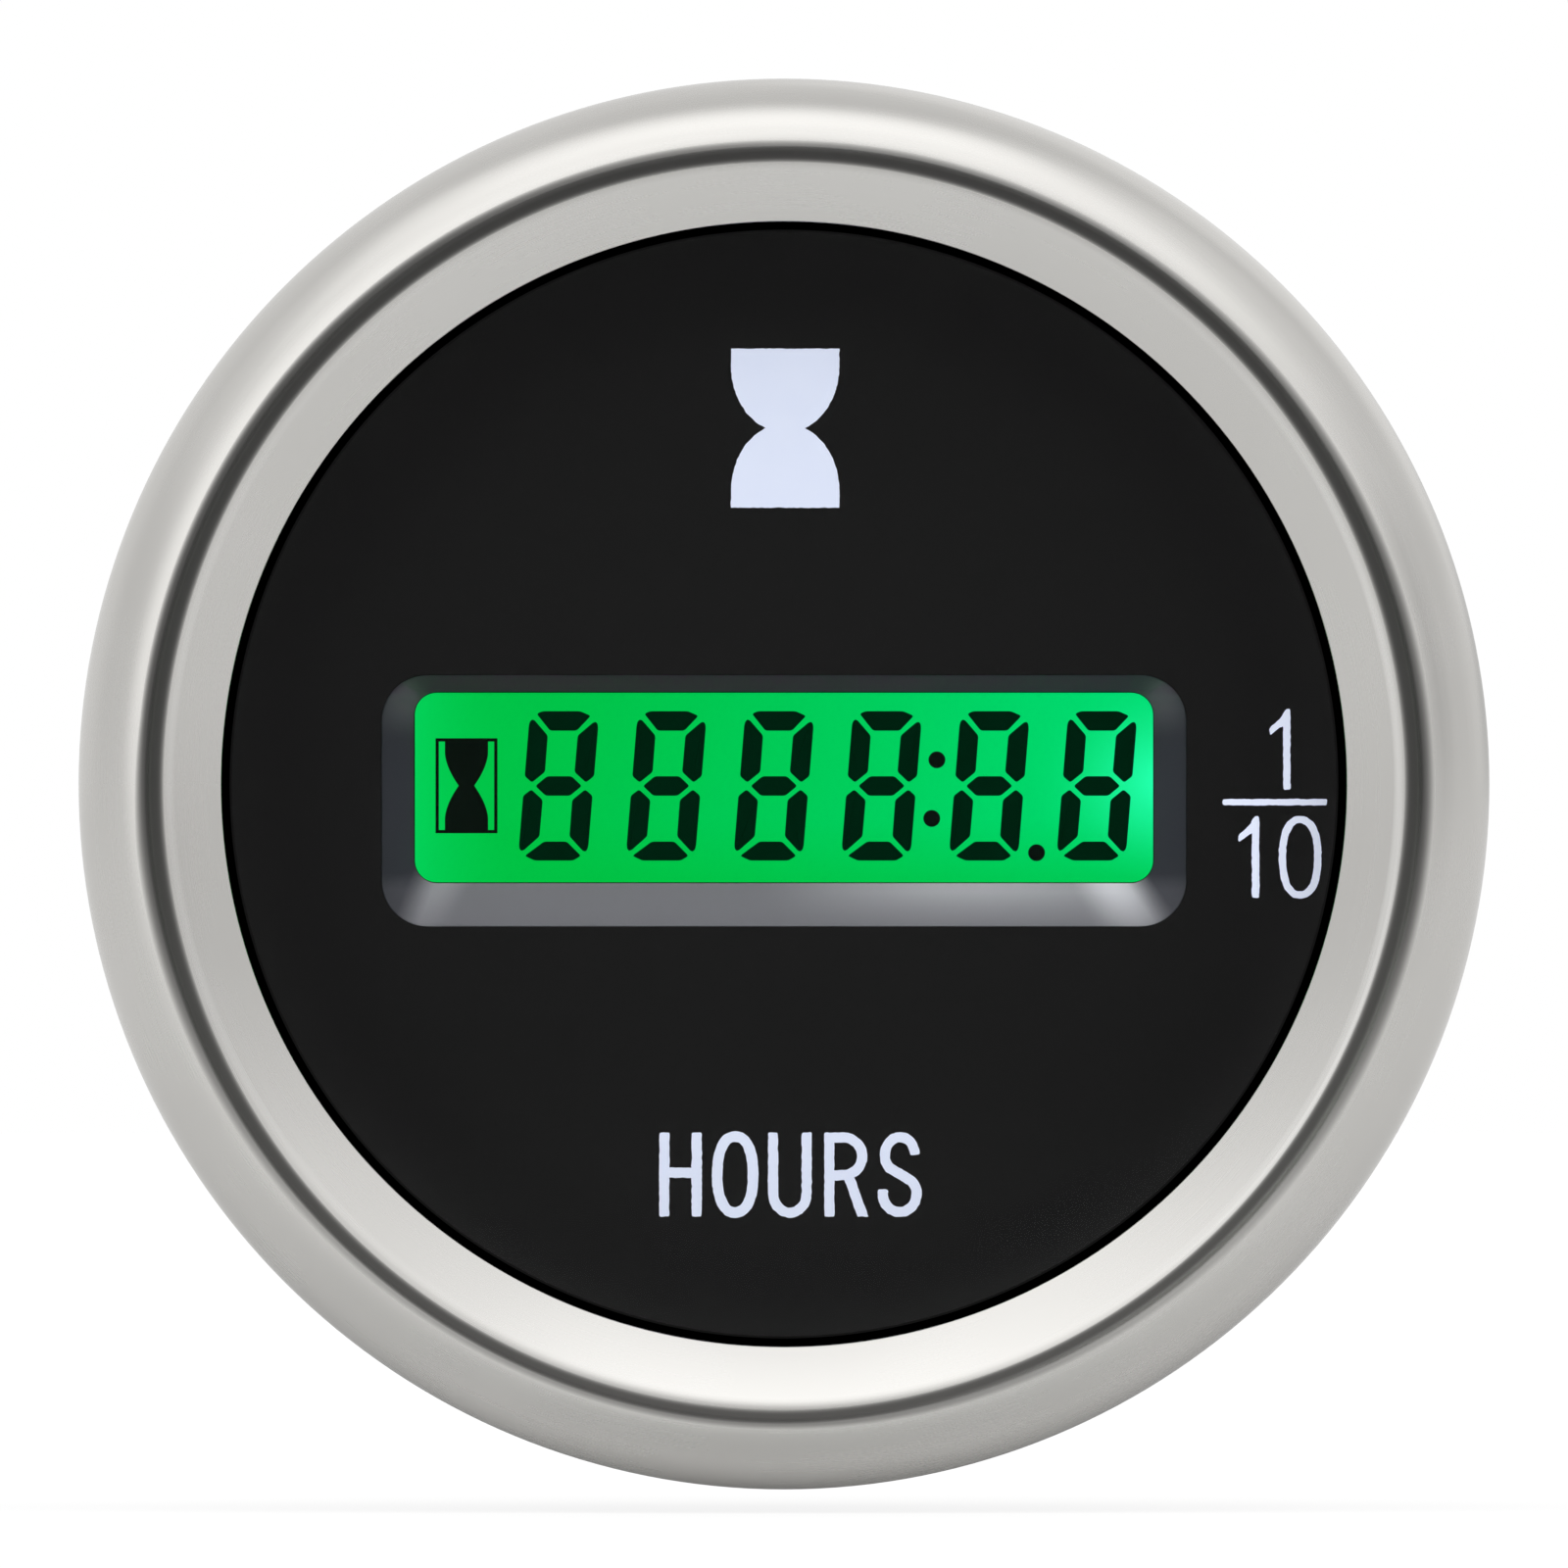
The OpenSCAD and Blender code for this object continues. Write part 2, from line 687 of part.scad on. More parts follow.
module capacitor() {
    can_r = capacitor_d / 2;
    color([0.12, 0.13, 0.2]) upright() translate([-capacitor_x, capacitor_y, z_parts]) rotate_extrude()
        difference() {
            translate([0, -capacitor_h]) square([can_r, capacitor_h]);
            translate([can_r + capacitor_groove, -capacitor_groove_z]) circle(r = 2 * capacitor_groove);
        }
}

module regulator() {
    tab_y = (regulator_h + regulator_tab_h) / 2 - foot_bite;
    leg_y = (regulator_h + regulator_leg_h) / 2 - leg_bite;
    color([0.07, 0.07, 0.07]) upright() translate([led_x - regulator_in, -regulator_y, 0]) {
        slab(regulator_w, regulator_h, z_parts - regulator_t, z_parts);
        translate([0, tab_y, 0])
            slab(regulator_tab_w, regulator_tab_h, z_parts - regulator_foot_t, z_parts);
        for (side = [-1, 1]) translate([side * regulator_leg_x, -leg_y, 0])
            slab(regulator_leg_w, regulator_leg_h, z_parts - regulator_foot_t, z_parts);
    }
}

module diode() {
    color([0.07, 0.07, 0.07]) upright() translate([-diode_x, -diode_y, 0]) {
        slab(diode_w, diode_h, z_parts - diode_t, z_parts);
        slab(diode_foot_w, diode_foot_h, z_parts - diode_foot_t, z_parts);
    }
}

// Blade with a shoulder inside the case, a tapered tip and a detent hole
tail_end = 3;
tail_w = 2.4;
shoulder = 0.7;
shoulder_t = 1.4;
blade_tip = 1.2;
detent_d = 1.7;
detent_in = 3.2;
module blade(place) {
    hole_z = z_rear - block_h - blade_l + detent_in;
    tip_z = z_rear - block_h - blade_l;
    half = blade_w / 2;
    color([0.8, 0.7, 0.4]) upright() translate([blade_x(place), -blade_drop, 0]) rotate([90, 0, 0])
        translate([0, 0, -blade_t / 2]) linear_extrude(blade_t) difference() {
            polygon([[-tail_w / 2, z_floor + tail_end],
                     [-tail_w / 2, z_floor + shoulder_t],
                     [-half - shoulder, z_floor + shoulder_t],
                     [-half - shoulder, z_floor],
                     [-half, z_floor],
                     [-half, tip_z + blade_tip],
                     [-half + blade_tip, tip_z],
                     [half - blade_tip, tip_z],
                     [half, tip_z + blade_tip],
                     [half, z_floor],
                     [half + shoulder, z_floor],
                     [half + shoulder, z_floor + shoulder_t],
                     [tail_w / 2, z_floor + shoulder_t],
                     [tail_w / 2, z_floor + tail_end]]);
            translate([0, hole_z]) circle(d = detent_d);
        }
}

module blade_left() {
    blade(0);
}

module blade_middle() {
    blade(1);
}

module blade_right() {
    blade(2);
}

// Insulated wires from the blades' tails to the circuit board
lead_r = 0.7;
module terminal_leads() {
    color([0.5, 0.1, 0.1]) upright() for (place = [0, 1, 2])
        translate([blade_x(place), -blade_drop, 0]) bar(lead_r, z_floor + tail_end, z_parts);
}

module stud(side) {
    color([0.75, 0.74, 0.7]) upright() translate([side * stud_x, 0, 0]) rotate_extrude()
        polygon([[0, z_floor + stud_head_t],
                 [stud_head_r, z_floor + stud_head_t],
                 [stud_head_r, z_floor],
                 [stud_r, z_floor],
                 [stud_r, stud_end + stud_tip],
                 [stud_r - stud_tip, stud_end],
                 [0, stud_end]]);
}

module stud_left() {
    stud(-1);
}

module stud_right() {
    stud(1);
}

// Hexagon nut with chamfered corners
module hex_nut(low, high) {
    corner_r = lock_nut_af / 2 / cos(30);
    edge = corner_r - lock_nut_af / 2;
    difference() {
        intersection() {
            translate([0, 0, low]) linear_extrude(high - low) circle(r = corner_r, $fn = 6);
            rotate_extrude() polygon([[0, low],
                                      [corner_r - edge, low],
                                      [corner_r + edge, low + edge],
                                      [corner_r + edge, high - edge],
                                      [corner_r - edge, high],
                                      [0, high]]);
        }
        bar(stud_r + thread_clear, low - edge, high + edge);
    }
}

module lock_nuts() {
    color([0.78, 0.77, 0.74]) upright() for (side = [-1, 1])
        translate([side * stud_x, 0, 0]) hex_nut(z_rear - pad_t - lock_nut_h, z_rear - pad_t);
}

module clamp_bracket() {
    outer_x = leg_x + bracket_t;
    outer_r = bracket_bend_r + bracket_t;
    color([0.72, 0.73, 0.74]) upright() difference() {
        translate([0, bracket_w / 2, 0]) rotate([90, 0, 0]) linear_extrude(bracket_w) {
            translate([-leg_x + bracket_bend_r, z_back]) square([2 * (leg_x - bracket_bend_r), bracket_t]);
            for (side = [-1, 1]) {
                translate([side * (leg_x + bracket_t / 2), (z_foot + z_base + bracket_bend_r) / 2])
                    square([bracket_t, bracket_leg - bracket_bend_r], center = true);
                translate([side * (leg_x - bracket_bend_r), z_base + bracket_bend_r])
                    sector(outer_r, bracket_bend_r, side > 0 ? 270 : 180, 90);
            }
        }
        for (side = [-1, 1])
            translate([side * stud_x, 0, 0]) bar(stud_r + hole_clear, z_back - bracket_t, z_base + bracket_t);
        for (end = [-1, 1]) translate([0, end * bracket_w / 2, z_foot]) rotate([45, 0, 0])
            cube([3 * outer_x, foot_cut, foot_cut], center = true);
    }
}

module spring_washers() {
    color([0.6, 0.6, 0.6]) upright() for (side = [-1, 1]) translate([side * stud_x, 0, z_nut])
        linear_extrude(washer_t) difference() {
            circle(r = washer_r);
            circle(r = stud_r + hole_clear / 2);
            translate([0, washer_r]) square([washer_slit, 2 * washer_r], center = true);
        }
}

// Knurled nut with a plain collar toward the clamp
module knurled_nut(side) {
    head_r = nut_d / 2;
    z_head = z_nut - collar_h;
    z_end = z_nut - nut_h;
    step = 360 / nut_ridges;
    ridges = [for (ridge = [0 : nut_ridges - 1], half = [0, 1])
        (head_r - half * ridge_depth) * [cos((ridge + half / 2) * step), sin((ridge + half / 2) * step)]];
    color([0.8, 0.72, 0.45]) upright() translate([side * stud_x, 0, 0]) difference() {
        union() {
            intersection() {
                translate([0, 0, z_end]) linear_extrude(z_head - z_end) polygon(ridges);
                rotate_extrude() polygon([[0, z_end],
                                          [head_r - nut_edge, z_end],
                                          [head_r + nut_edge, z_end + 2 * nut_edge],
                                          [head_r + nut_edge, z_head - 2 * nut_edge],
                                          [head_r - nut_edge, z_head],
                                          [0, z_head]]);
            }
            bar(collar_r, z_head - collar_h, z_nut);
        }
        bar(stud_r + thread_clear, z_end - nut_edge, z_nut + nut_edge);
    }
}

module nut_left() {
    knurled_nut(-1);
}

module nut_right() {
    knurled_nut(1);
}

bezel();
lens();
lens_seal();
panel_gasket();
case_rim();
housing();
spacer_ring();
dial();
window_frame();
front_film();
lcd_segments();
front_glass();
rear_glass();
rear_film();
light_guide();
light_tray();
backlight_led();
contact_strips();
circuit_board();
board_screws();
microcontroller();
memory_chip();
crystal();
capacitor();
regulator();
diode();
blade_left();
blade_middle();
blade_right();
terminal_leads();
stud_left();
stud_right();
lock_nuts();
clamp_bracket();
spring_washers();
nut_left();
nut_right();
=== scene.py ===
# %% [markdown]
# # A panel-mounted hour meter
# The imported solids are the fixed frame of this lesson. They are already in metres and in place, so
# each piece that we model goes straight where its solid is. The dial faces -Y, +X is right on the
# dial and +Z is up.

# %% Load the frame
import math
import bpy
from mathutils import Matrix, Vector, noise


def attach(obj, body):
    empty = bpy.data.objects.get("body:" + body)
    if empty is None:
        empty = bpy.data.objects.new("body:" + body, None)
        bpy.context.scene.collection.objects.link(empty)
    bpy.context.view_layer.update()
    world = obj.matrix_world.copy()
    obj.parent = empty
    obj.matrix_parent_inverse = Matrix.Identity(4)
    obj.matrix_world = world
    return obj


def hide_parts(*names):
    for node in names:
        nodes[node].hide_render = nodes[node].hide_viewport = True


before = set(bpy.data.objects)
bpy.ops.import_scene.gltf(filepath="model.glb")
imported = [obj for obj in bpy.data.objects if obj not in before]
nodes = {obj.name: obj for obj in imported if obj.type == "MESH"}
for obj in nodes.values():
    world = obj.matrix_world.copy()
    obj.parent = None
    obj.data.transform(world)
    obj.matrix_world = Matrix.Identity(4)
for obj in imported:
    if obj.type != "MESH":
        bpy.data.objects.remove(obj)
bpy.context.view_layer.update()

MM = 0.001

# %% [markdown]
# ## Camera
# The photograph looks straight at the dial, with the bezel filling nine tenths of the frame. A very
# long lens from far away keeps the dial and the bezel in the same proportion, as the photograph does.

# %% Camera
FRAME_WIDTH = 66.67
LENS, SENSOR = 1500.0, 36.0
BEZEL_PLANE = -6.7
distance = FRAME_WIDTH / 2 * LENS / (SENSOR / 2)
camera_data = bpy.data.cameras.new("camera")
camera_data.lens = LENS
camera_data.sensor_width = SENSOR
camera_data.clip_end = 50
camera = bpy.data.objects.new("camera", camera_data)
camera.location = (0, (BEZEL_PLANE - distance) * MM, 0)
camera.rotation_euler = (math.radians(90), 0, 0)
bpy.context.scene.collection.objects.link(camera)
bpy.context.scene.camera = camera
print("camera at", round(distance), "mm")

# %% [markdown]
# ## Small hand tools
# Every operator acts on what is selected, so each tool starts with nothing selected. `turned` draws
# a chain of points by extruding one vertex and spins it about the dial's axis, as a lathe would.
# `plates` cuts flat shapes and gives them a thickness. Shapes that overlap are staggered by a hair, so
# that no two faces lie in one plane. `softened` takes a copy of a solid, merges its loose triangles and
# rounds its sharp edges a little, because no real edge is perfectly sharp.

# %% Start and finish a piece
def clear():
    if bpy.context.object and bpy.context.object.mode != "OBJECT":
        bpy.ops.object.mode_set(mode="OBJECT")
    bpy.ops.object.select_all(action="DESELECT")


def edit_all():
    bpy.ops.object.mode_set(mode="EDIT")
    bpy.ops.mesh.select_all(action="SELECT")


def tidy(merge=1e-7):
    edit_all()
    bpy.ops.mesh.remove_doubles(threshold=merge)
    bpy.ops.mesh.normals_make_consistent(inside=False)
    bpy.ops.object.mode_set(mode="OBJECT")


def finish(piece, body, replaced=(), angle=35):
    clear()
    piece.select_set(True)
    bpy.context.view_layer.objects.active = piece
    bpy.ops.object.shade_smooth_by_angle(angle=math.radians(angle))
    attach(piece, body)
    if replaced:
        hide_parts(*replaced)
    print(piece.name, "faces:", len(piece.data.polygons))
    return piece


# %% Turn a profile on the axis
def arc(centre, radius, start, end, steps):
    turns = [math.radians(start + (end - start) * i / steps) for i in range(steps + 1)]
    return [(centre[0] + radius * math.cos(t), centre[1] + radius * math.sin(t)) for t in turns]


def turned(name, profile, steps):
    clear()
    bpy.ops.mesh.primitive_plane_add(size=MM)
    piece = bpy.context.object
    piece.name = name
    edit_all()
    bpy.ops.mesh.merge(type="CENTER")
    radius, forward = profile[0]
    bpy.ops.transform.translate(value=(radius * MM, -forward * MM, 0))
    for (r0, f0), (r1, f1) in zip(profile, profile[1:]):
        move = {"value": ((r1 - r0) * MM, (f0 - f1) * MM, 0)}
        bpy.ops.mesh.extrude_vertices_move(TRANSFORM_OT_translate=move)
    bpy.ops.mesh.select_all(action="SELECT")
    bpy.ops.mesh.spin(steps=steps, angle=2 * math.pi, center=(0, 0, 0), axis=(0, 1, 0))
    tidy()
    return piece


# %% Cut flat shapes and thicken them
STAGGERS = 4


def plates(name, outlines, front, thick, corner=0.0, rounds=3, stagger=0.0):
    made = []
    for number, outline in enumerate(outlines):
        clear()
        bpy.ops.mesh.primitive_circle_add(vertices=len(outline), radius=MM, fill_type="NGON")
        plate = bpy.context.object
        for vertex, (x, z) in zip(plate.data.vertices, outline):
            vertex.co = (x * MM, (front + thick) * MM, z * MM)
        edit_all()
        if corner:
            bpy.ops.mesh.bevel(offset=corner * MM, segments=rounds, affect="VERTICES")
            bpy.ops.mesh.select_all(action="SELECT")
        lift = thick + stagger * (number % STAGGERS)
        bpy.ops.mesh.extrude_region_move(TRANSFORM_OT_translate={"value": (0, -lift * MM, 0)})
        tidy()
        made.append(plate)
    clear()
    for plate in made:
        plate.select_set(True)
    bpy.context.view_layer.objects.active = made[0]
    if len(made) > 1:
        bpy.ops.object.join()
    piece = bpy.context.object
    piece.name = name
    return piece


# %% Round the edges of a copy of a solid
def copied(node):
    clear()
    piece = nodes[node].copy()
    piece.data = nodes[node].data.copy()
    piece.name = node + "_finished"
    piece.parent = None
    for mark in [key for key in piece.keys() if key.startswith("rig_")]:
        del piece[mark]
    bpy.context.scene.collection.objects.link(piece)
    piece.select_set(True)
    bpy.context.view_layer.objects.active = piece
    bpy.ops.mesh.customdata_custom_splitnormals_clear()
    edit_all()
    bpy.ops.mesh.remove_doubles(threshold=1e-6)
    bpy.ops.mesh.dissolve_limited(angle_limit=math.radians(0.3))
    bpy.ops.object.mode_set(mode="OBJECT")
    return piece


def softened(node, body, edge, rounds=2, angle=30):
    piece = copied(node)
    bevel = piece.modifiers.new("edges", "BEVEL")
    bevel.width = edge * MM
    bevel.segments = rounds
    bevel.limit_method = "ANGLE"
    bevel.angle_limit = math.radians(angle)
    bevel.harden_normals = False
    bpy.ops.object.modifier_apply(modifier=bevel.name)
    return finish(piece, body, [node])


print("tools ready")

# %% [markdown]
# ## A way to write finishes
# A finish is a material whose numbers are worked out by small Math nodes. One class wraps a socket, so
# that `1 - mask * 0.3` adds the nodes by itself. Any other node comes from one method, which takes
# the node's type, its settings and its sockets.

# %% Finishes
class Wire:
    def __init__(self, tree, socket):
        self.tree, self.socket = tree, socket

    def math(self, operation, first, second=0.0):
        node = self.tree.nodes.new("ShaderNodeMath")
        node.operation = operation
        for socket, value in zip(node.inputs, (first, second)):
            if isinstance(value, Wire):
                self.tree.links.new(value.socket, socket)
            else:
                socket.default_value = value
        return Wire(self.tree, node.outputs[0])

    def __add__(self, other):
        return self.math("ADD", self, other)

    def __radd__(self, other):
        return self.math("ADD", other, self)

    def __sub__(self, other):
        return self.math("SUBTRACT", self, other)

    def __rsub__(self, other):
        return self.math("SUBTRACT", other, self)

    def __mul__(self, other):
        return self.math("MULTIPLY", self, other)

    def __rmul__(self, other):
        return self.math("MULTIPLY", other, self)

    def __truediv__(self, other):
        return self.math("DIVIDE", self, other)

    def __rtruediv__(self, other):
        return self.math("DIVIDE", other, self)

    def __pow__(self, other):
        return self.math("POWER", self, other)

    def clamped(self):
        return self.math("MINIMUM", self.math("MAXIMUM", self, 0.0), 1.0)


class Finish:
    def __init__(self, name, tree=None, **constants):
        if tree is None:
            self.material = bpy.data.materials.new(name)
            self.material.use_nodes = True
            tree = self.material.node_tree
        self.tree = tree
        self.shader = tree.nodes.get("Principled BSDF")
        self.fill(self.shader, {key.replace("_", " "): value for key, value in constants.items()})

    def fill(self, node, sockets):
        for key, value in sockets.items():
            if isinstance(value, Wire):
                self.tree.links.new(value.socket, node.inputs[key])
            else:
                node.inputs[key].default_value = value

    def node(self, kind, settings=None, sockets=None, out=0):
        node = self.tree.nodes.new("ShaderNode" + kind)
        for key, value in (settings or {}).items():
            setattr(node, key, value)
        self.fill(node, sockets or {})
        return Wire(self.tree, node.outputs[out])

    def spot(self):
        return self.node("TexCoord", out="Object")

    def split(self, vector):
        first = self.node("SeparateXYZ", sockets={"Vector": vector})
        return [Wire(self.tree, output) for output in first.socket.node.outputs]

    def place(self):
        spot = self.spot()
        return [spot] + self.split(spot)

    def noise(self, spot, scale, detail=3.0, stretch=None):
        if stretch:
            spot = self.node("Mapping", sockets={"Vector": spot, "Scale": stretch})
        return self.node("TexNoise", sockets={"Vector": spot, "Scale": scale, "Detail": detail})

    def blend(self, factor, first, second):
        return self.node("Mix", {"data_type": "RGBA"}, {0: factor, 6: first, 7: second}, out=2)

    def shade(self, **sockets):
        self.fill(self.shader, {key.replace("_", " "): value for key, value in sockets.items()})
        return self.material

    def bump(self, height, strength, reach):
        return self.node("Bump", sockets={"Height": height, "Strength": strength, "Distance": reach})


def dress(names, material):
    for name in names:
        target = nodes[name] if isinstance(name, str) else name
        target.data.materials.clear()
        target.data.materials.append(material)
    print(material.name, "on", len(names))


print("finishes ready")

# %% [markdown]
# ## Bezel steel
# The bezel is spun from stainless sheet and polished to a satin. What is left of the polishing are very
# fine lines around the dial, too fine to model, so they are a bump, and faint clouds in the tone. Shade
# is painted into the crease at the foot of the crest: a dark, dull mask that is no metal takes the steel's
# mirror away where it lies. It fills the crease and thins out over the bead beside it, in other places
# and widths above, below and at the sides. Highlights are painted too: the cone's edge beside the crease
# is paler, and so is the cone above and below.

# %% Bezel steel
# The crease and bead radii place the painted shade; the other three radii place painted highlights.
CREASE_R, BEAD_R, EDGE_GLINT_R, SIDE_GLINT_R, CONE_GLINT_R = 26.78, 27.15, 26.13, 26.31, 26.38
LINES, CLOUDS = 9000.0, 130.0


def satin_steel(name, colour, darker, rough, line_height):
    metal = Finish(name, Specular_IOR_Level=0.1)
    spot, x, y, z = metal.place()
    radius = (x * x + z * z) ** 0.5
    radius_mm, across, upright = radius / MM, x / radius, z / radius
    turn = metal.node("Math", {"operation": "ARCTAN2"}, {0: z, 1: x})
    around = metal.node("CombineXYZ", sockets={0: radius * LINES, 1: turn * 1.4, 2: y * LINES})
    lines = metal.noise(around, 1.0, 2.0)
    clouds = metal.noise(spot, CLOUDS, 4.0)
    above, below = (upright * 1.2).clamped(), (-1.0 * upright).clamped()
    beside = across ** 4.0
    up_left = above * (-1.0 * across).clamped()
    left_up = (-1.5 * across).clamped() * (upright * 5.0 + 0.5).clamped()
    low_right = (across * below * 2.0).clamped()
    low_side = (across * below * 2.0) ** 2.0
    # Painted shade: a dark, dull, non-metal mask in the crease and over the bead beside it, placed and sized
    # differently above, below and at the sides.
    middle = below * below * 0.12 - low_right * 0.14 + CREASE_R
    off_crease = (radius_mm - middle) / (beside * 0.06 - below * below * 0.05 - low_right * 0.05 + 0.35)
    crease_shade = (1.0 - off_crease ** 4.0).clamped() * 0.9
    wide = beside * (1.0 - left_up) * 0.22 - above * 0.09 + up_left * 0.12 + 0.30
    fading = ((radius_mm - left_up * 0.06 - BEAD_R) / wide).clamped()
    before = ((BEAD_R - radius_mm) / 0.20).clamped()
    bead_shade_strength = beside * 0.36 + below * 0.2 + up_left * above * 0.5 - low_side * 0.25 + 0.52
    bead_shade = (1.0 - fading * fading) * (1.0 - before * before) * bead_shade_strength
    painted_shade = 1.0 - (1.0 - crease_shade) * (1.0 - bead_shade)
    # Painted highlights: a pale ring at the cone's edge, strongest at the sides and at the lower right, and
    # the cone paler above and below.
    edge_glint_off = (radius_mm - EDGE_GLINT_R) / 0.22
    cone_highlight = upright * upright * ((CONE_GLINT_R - radius_mm) * 4.0).clamped()
    side_glint_off = (radius_mm - SIDE_GLINT_R) / 0.15
    steel_highlight = ((1.0 - edge_glint_off * edge_glint_off).clamped() * beside * (across * 0.12 + 0.34) + cone_highlight * 0.25
              + (1.0 - side_glint_off * side_glint_off).clamped() * low_right * beside)
    tone = metal.blend(lines * 0.25 + clouds * 0.75, darker, colour)
    tone = metal.blend(steel_highlight, tone, (0.85, 0.84, 0.82, 1))
    # The painted shade in the crease is a little lighter below.
    dark = metal.blend(below, (0.017, 0.0165, 0.016, 1), (0.056, 0.054, 0.052, 1))
    tone = metal.blend(painted_shade, tone, dark)
    return metal.shade(Base_Color=tone, Metallic=1.0 - painted_shade,
                       Roughness=rough + painted_shade * 0.35 + (lines - 0.5) * 0.04 + (clouds - 0.5) * 0.06,
                       Normal=metal.bump(lines, 0.12, line_height))


bezel_steel = satin_steel("bezel_steel", (0.605, 0.595, 0.575, 1), (0.53, 0.52, 0.50, 1), 0.27, 1.0e-6)
print("bezel steel ready")

# %% [markdown]
# ## Bezel
# The bezel is one sheet: a cone that leads the eye down to the glass, a small step, a rounded crest, a
# skirt and a lip crimped behind the case's flange. A profile and one spin give the whole of it, with
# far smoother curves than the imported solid's triangles.

# %% Bezel profile
BEZEL_R, SHEET, SHOULDER, BEAD, FOOT = 30.0, 0.6, 2.75, 0.2, 1.35
APERTURE_R, CONE, STEP_H, CURL, LIP = 23.9, 25.0, 0.415, 0.9, 2.6
SEAL_FRONT, GASKET = 5.5, 1.2
crest = BEZEL_R - SHOULDER
step = crest - BEAD
foot = step - FOOT
rise, run = math.sin(math.radians(CONE)), math.cos(math.radians(CONE))
cone_f = SEAL_FRONT + SHEET * run
cone_end = (foot + FOOT * rise, cone_f + (foot + FOOT * rise - APERTURE_R) * rise / run)
foot_f = cone_end[1] + FOOT * run
bead_f = foot_f + STEP_H
shoulder_f = bead_f + BEAD - SHOULDER
curl_f = GASKET + CURL
CUT = 0.08
front_cut = (APERTURE_R + CUT * (run + rise), cone_f + CUT * (rise - run))
rear_cut = (APERTURE_R + SHEET * rise + CUT * (run - rise), cone_f - SHEET * run + CUT * (rise + run))
outer = (arc(rear_cut, CUT, 270 + CONE, 180 + CONE, 4) + arc(front_cut, CUT, 180 + CONE, 90 + CONE, 4)
         + arc((foot, foot_f), FOOT, 270 + CONE, 360, 10)
         + arc((crest, bead_f), BEAD, 180, 90, 12)
         + arc((crest, shoulder_f), SHOULDER, 90, 0, 24)[1:]
         + arc((BEZEL_R - CURL, curl_f), CURL, 0, -90, 10))
inner = ([(BEZEL_R - LIP, GASKET), (BEZEL_R - LIP, GASKET + SHEET)]
         + arc((BEZEL_R - CURL, curl_f), CURL - SHEET, -90, 0, 4)
         + arc((crest, shoulder_f), SHOULDER - SHEET, 0, 90, 10)
         + arc((crest, bead_f), BEAD / 3, 90, 180, 4)
         + arc((foot, foot_f), FOOT + SHEET, 360, 270 + CONE, 5))
bezel = turned("bezel_ring", outer + inner + outer[:1], steps=256)
dress([bezel], bezel_steel)
finish(bezel, "gauge", ["bezel"], angle=50)

# %% [markdown]
# ## Glass
# The flat glass mirrors a little and otherwise lets everything through. A clear shader is mixed with a
# mirror-smooth one by Fresnel, so the glass shows at a slant and almost vanishes from the front.

# %% Lens glass
def clear_glass(name, tint, share):
    glass = Finish(name, Base_Color=tint, Roughness=0.03, Specular_IOR_Level=1.0)
    edge = glass.node("Fresnel", sockets={"IOR": 1.45})
    outside = 1.0 - glass.node("NewGeometry", out="Backfacing")
    smudge = glass.noise(glass.spot(), 60.0, 3.0)
    mirror = ((edge * share + smudge * 0.004) * outside).clamped()
    through = glass.node("BsdfTransparent", sockets={"Color": (1, 1, 1, 1)})
    coated = Wire(glass.tree, glass.shader.outputs[0])
    mixed = glass.node("MixShader", sockets={0: mirror, 1: through, 2: coated})
    glass.tree.links.new(mixed.socket, glass.tree.nodes["Material Output"].inputs["Surface"])
    return glass.material


lens_glass = clear_glass("lens_glass", (0.02, 0.02, 0.02, 1), 0.8)
dress(["lens"], lens_glass)

# %% [markdown]
# ## Black rubber and moulded plastics
# The seal, the gasket, the case and the dial are all nearly black, yet they differ in sheen. Rubber is
# dull with a fine bloom, the case has a spark-eroded grain from its mould, and the dial is a flat ink.
# The ink is painted paler towards its rim, as painted light against the shade that the bezel casts
# there. The seal is black under the bezel's edge, and its inner lip has the dial's own tone.

# %% Dark finishes
def grained(name, colour, paler, rough, grain, reach, spread=0.08, gloss=0.5):
    skin = Finish(name, Specular_IOR_Level=gloss)
    spot = skin.spot()
    fine = skin.noise(spot, grain, 4.0)
    broad = skin.noise(spot, 90.0, 3.0)
    tone = skin.blend(fine * 0.5 + broad * 0.5, colour, paler)
    return skin.shade(Base_Color=tone, Roughness=rough + (broad - 0.5) * spread + (fine - 0.5) * spread,
                      Normal=skin.bump(fine, 0.4, reach))


rubber = grained("black_rubber", (0.004, 0.004, 0.004, 1), (0.012, 0.012, 0.012, 1), 0.8, 2600.0, 6e-6)
case_skin = grained("case_plastic", (0.008, 0.008, 0.009, 1), (0.020, 0.020, 0.022, 1), 0.46, 1700.0, 2.4e-5)
# A dead black without sheen: the spacer ring's own black, and painted shadow on the thin line around the
# window.
black_and_shadow = grained("black_and_shadow", (0.0, 0.0, 0.0, 1), (0.001, 0.001, 0.001, 1), 0.95, 3000.0, 2e-6, gloss=0.0)
dress(["panel_gasket"], rubber)
dress(["spacer_ring"], black_and_shadow)

# %% Seal lip
LIP_R = 23.59
seal = Finish("seal_rubber", Roughness=0.95, Specular_IOR_Level=0.0)
spot, x, y, z = seal.place()
bloom = seal.noise(spot, 3000.0, 4.0)
lip = ((LIP_R - (x * x + z * z) ** 0.5 / MM) * 30.0).clamped()
seal_rubber = seal.shade(Base_Color=seal.blend(lip, (0.0, 0.0, 0.0, 1), (0.009, 0.009, 0.009, 1)),
                         Normal=seal.bump(bloom, 0.4, 2e-6))
dress(["lens_seal"], seal_rubber)

# %% Dial ink
RIM_START, RIM_WIDTH = 19.5, 4.0
ink = Finish("dial_ink", Specular_IOR_Level=0.15)
spot, x, y, z = ink.place()
fine = ink.noise(spot, 4200.0, 4.0)
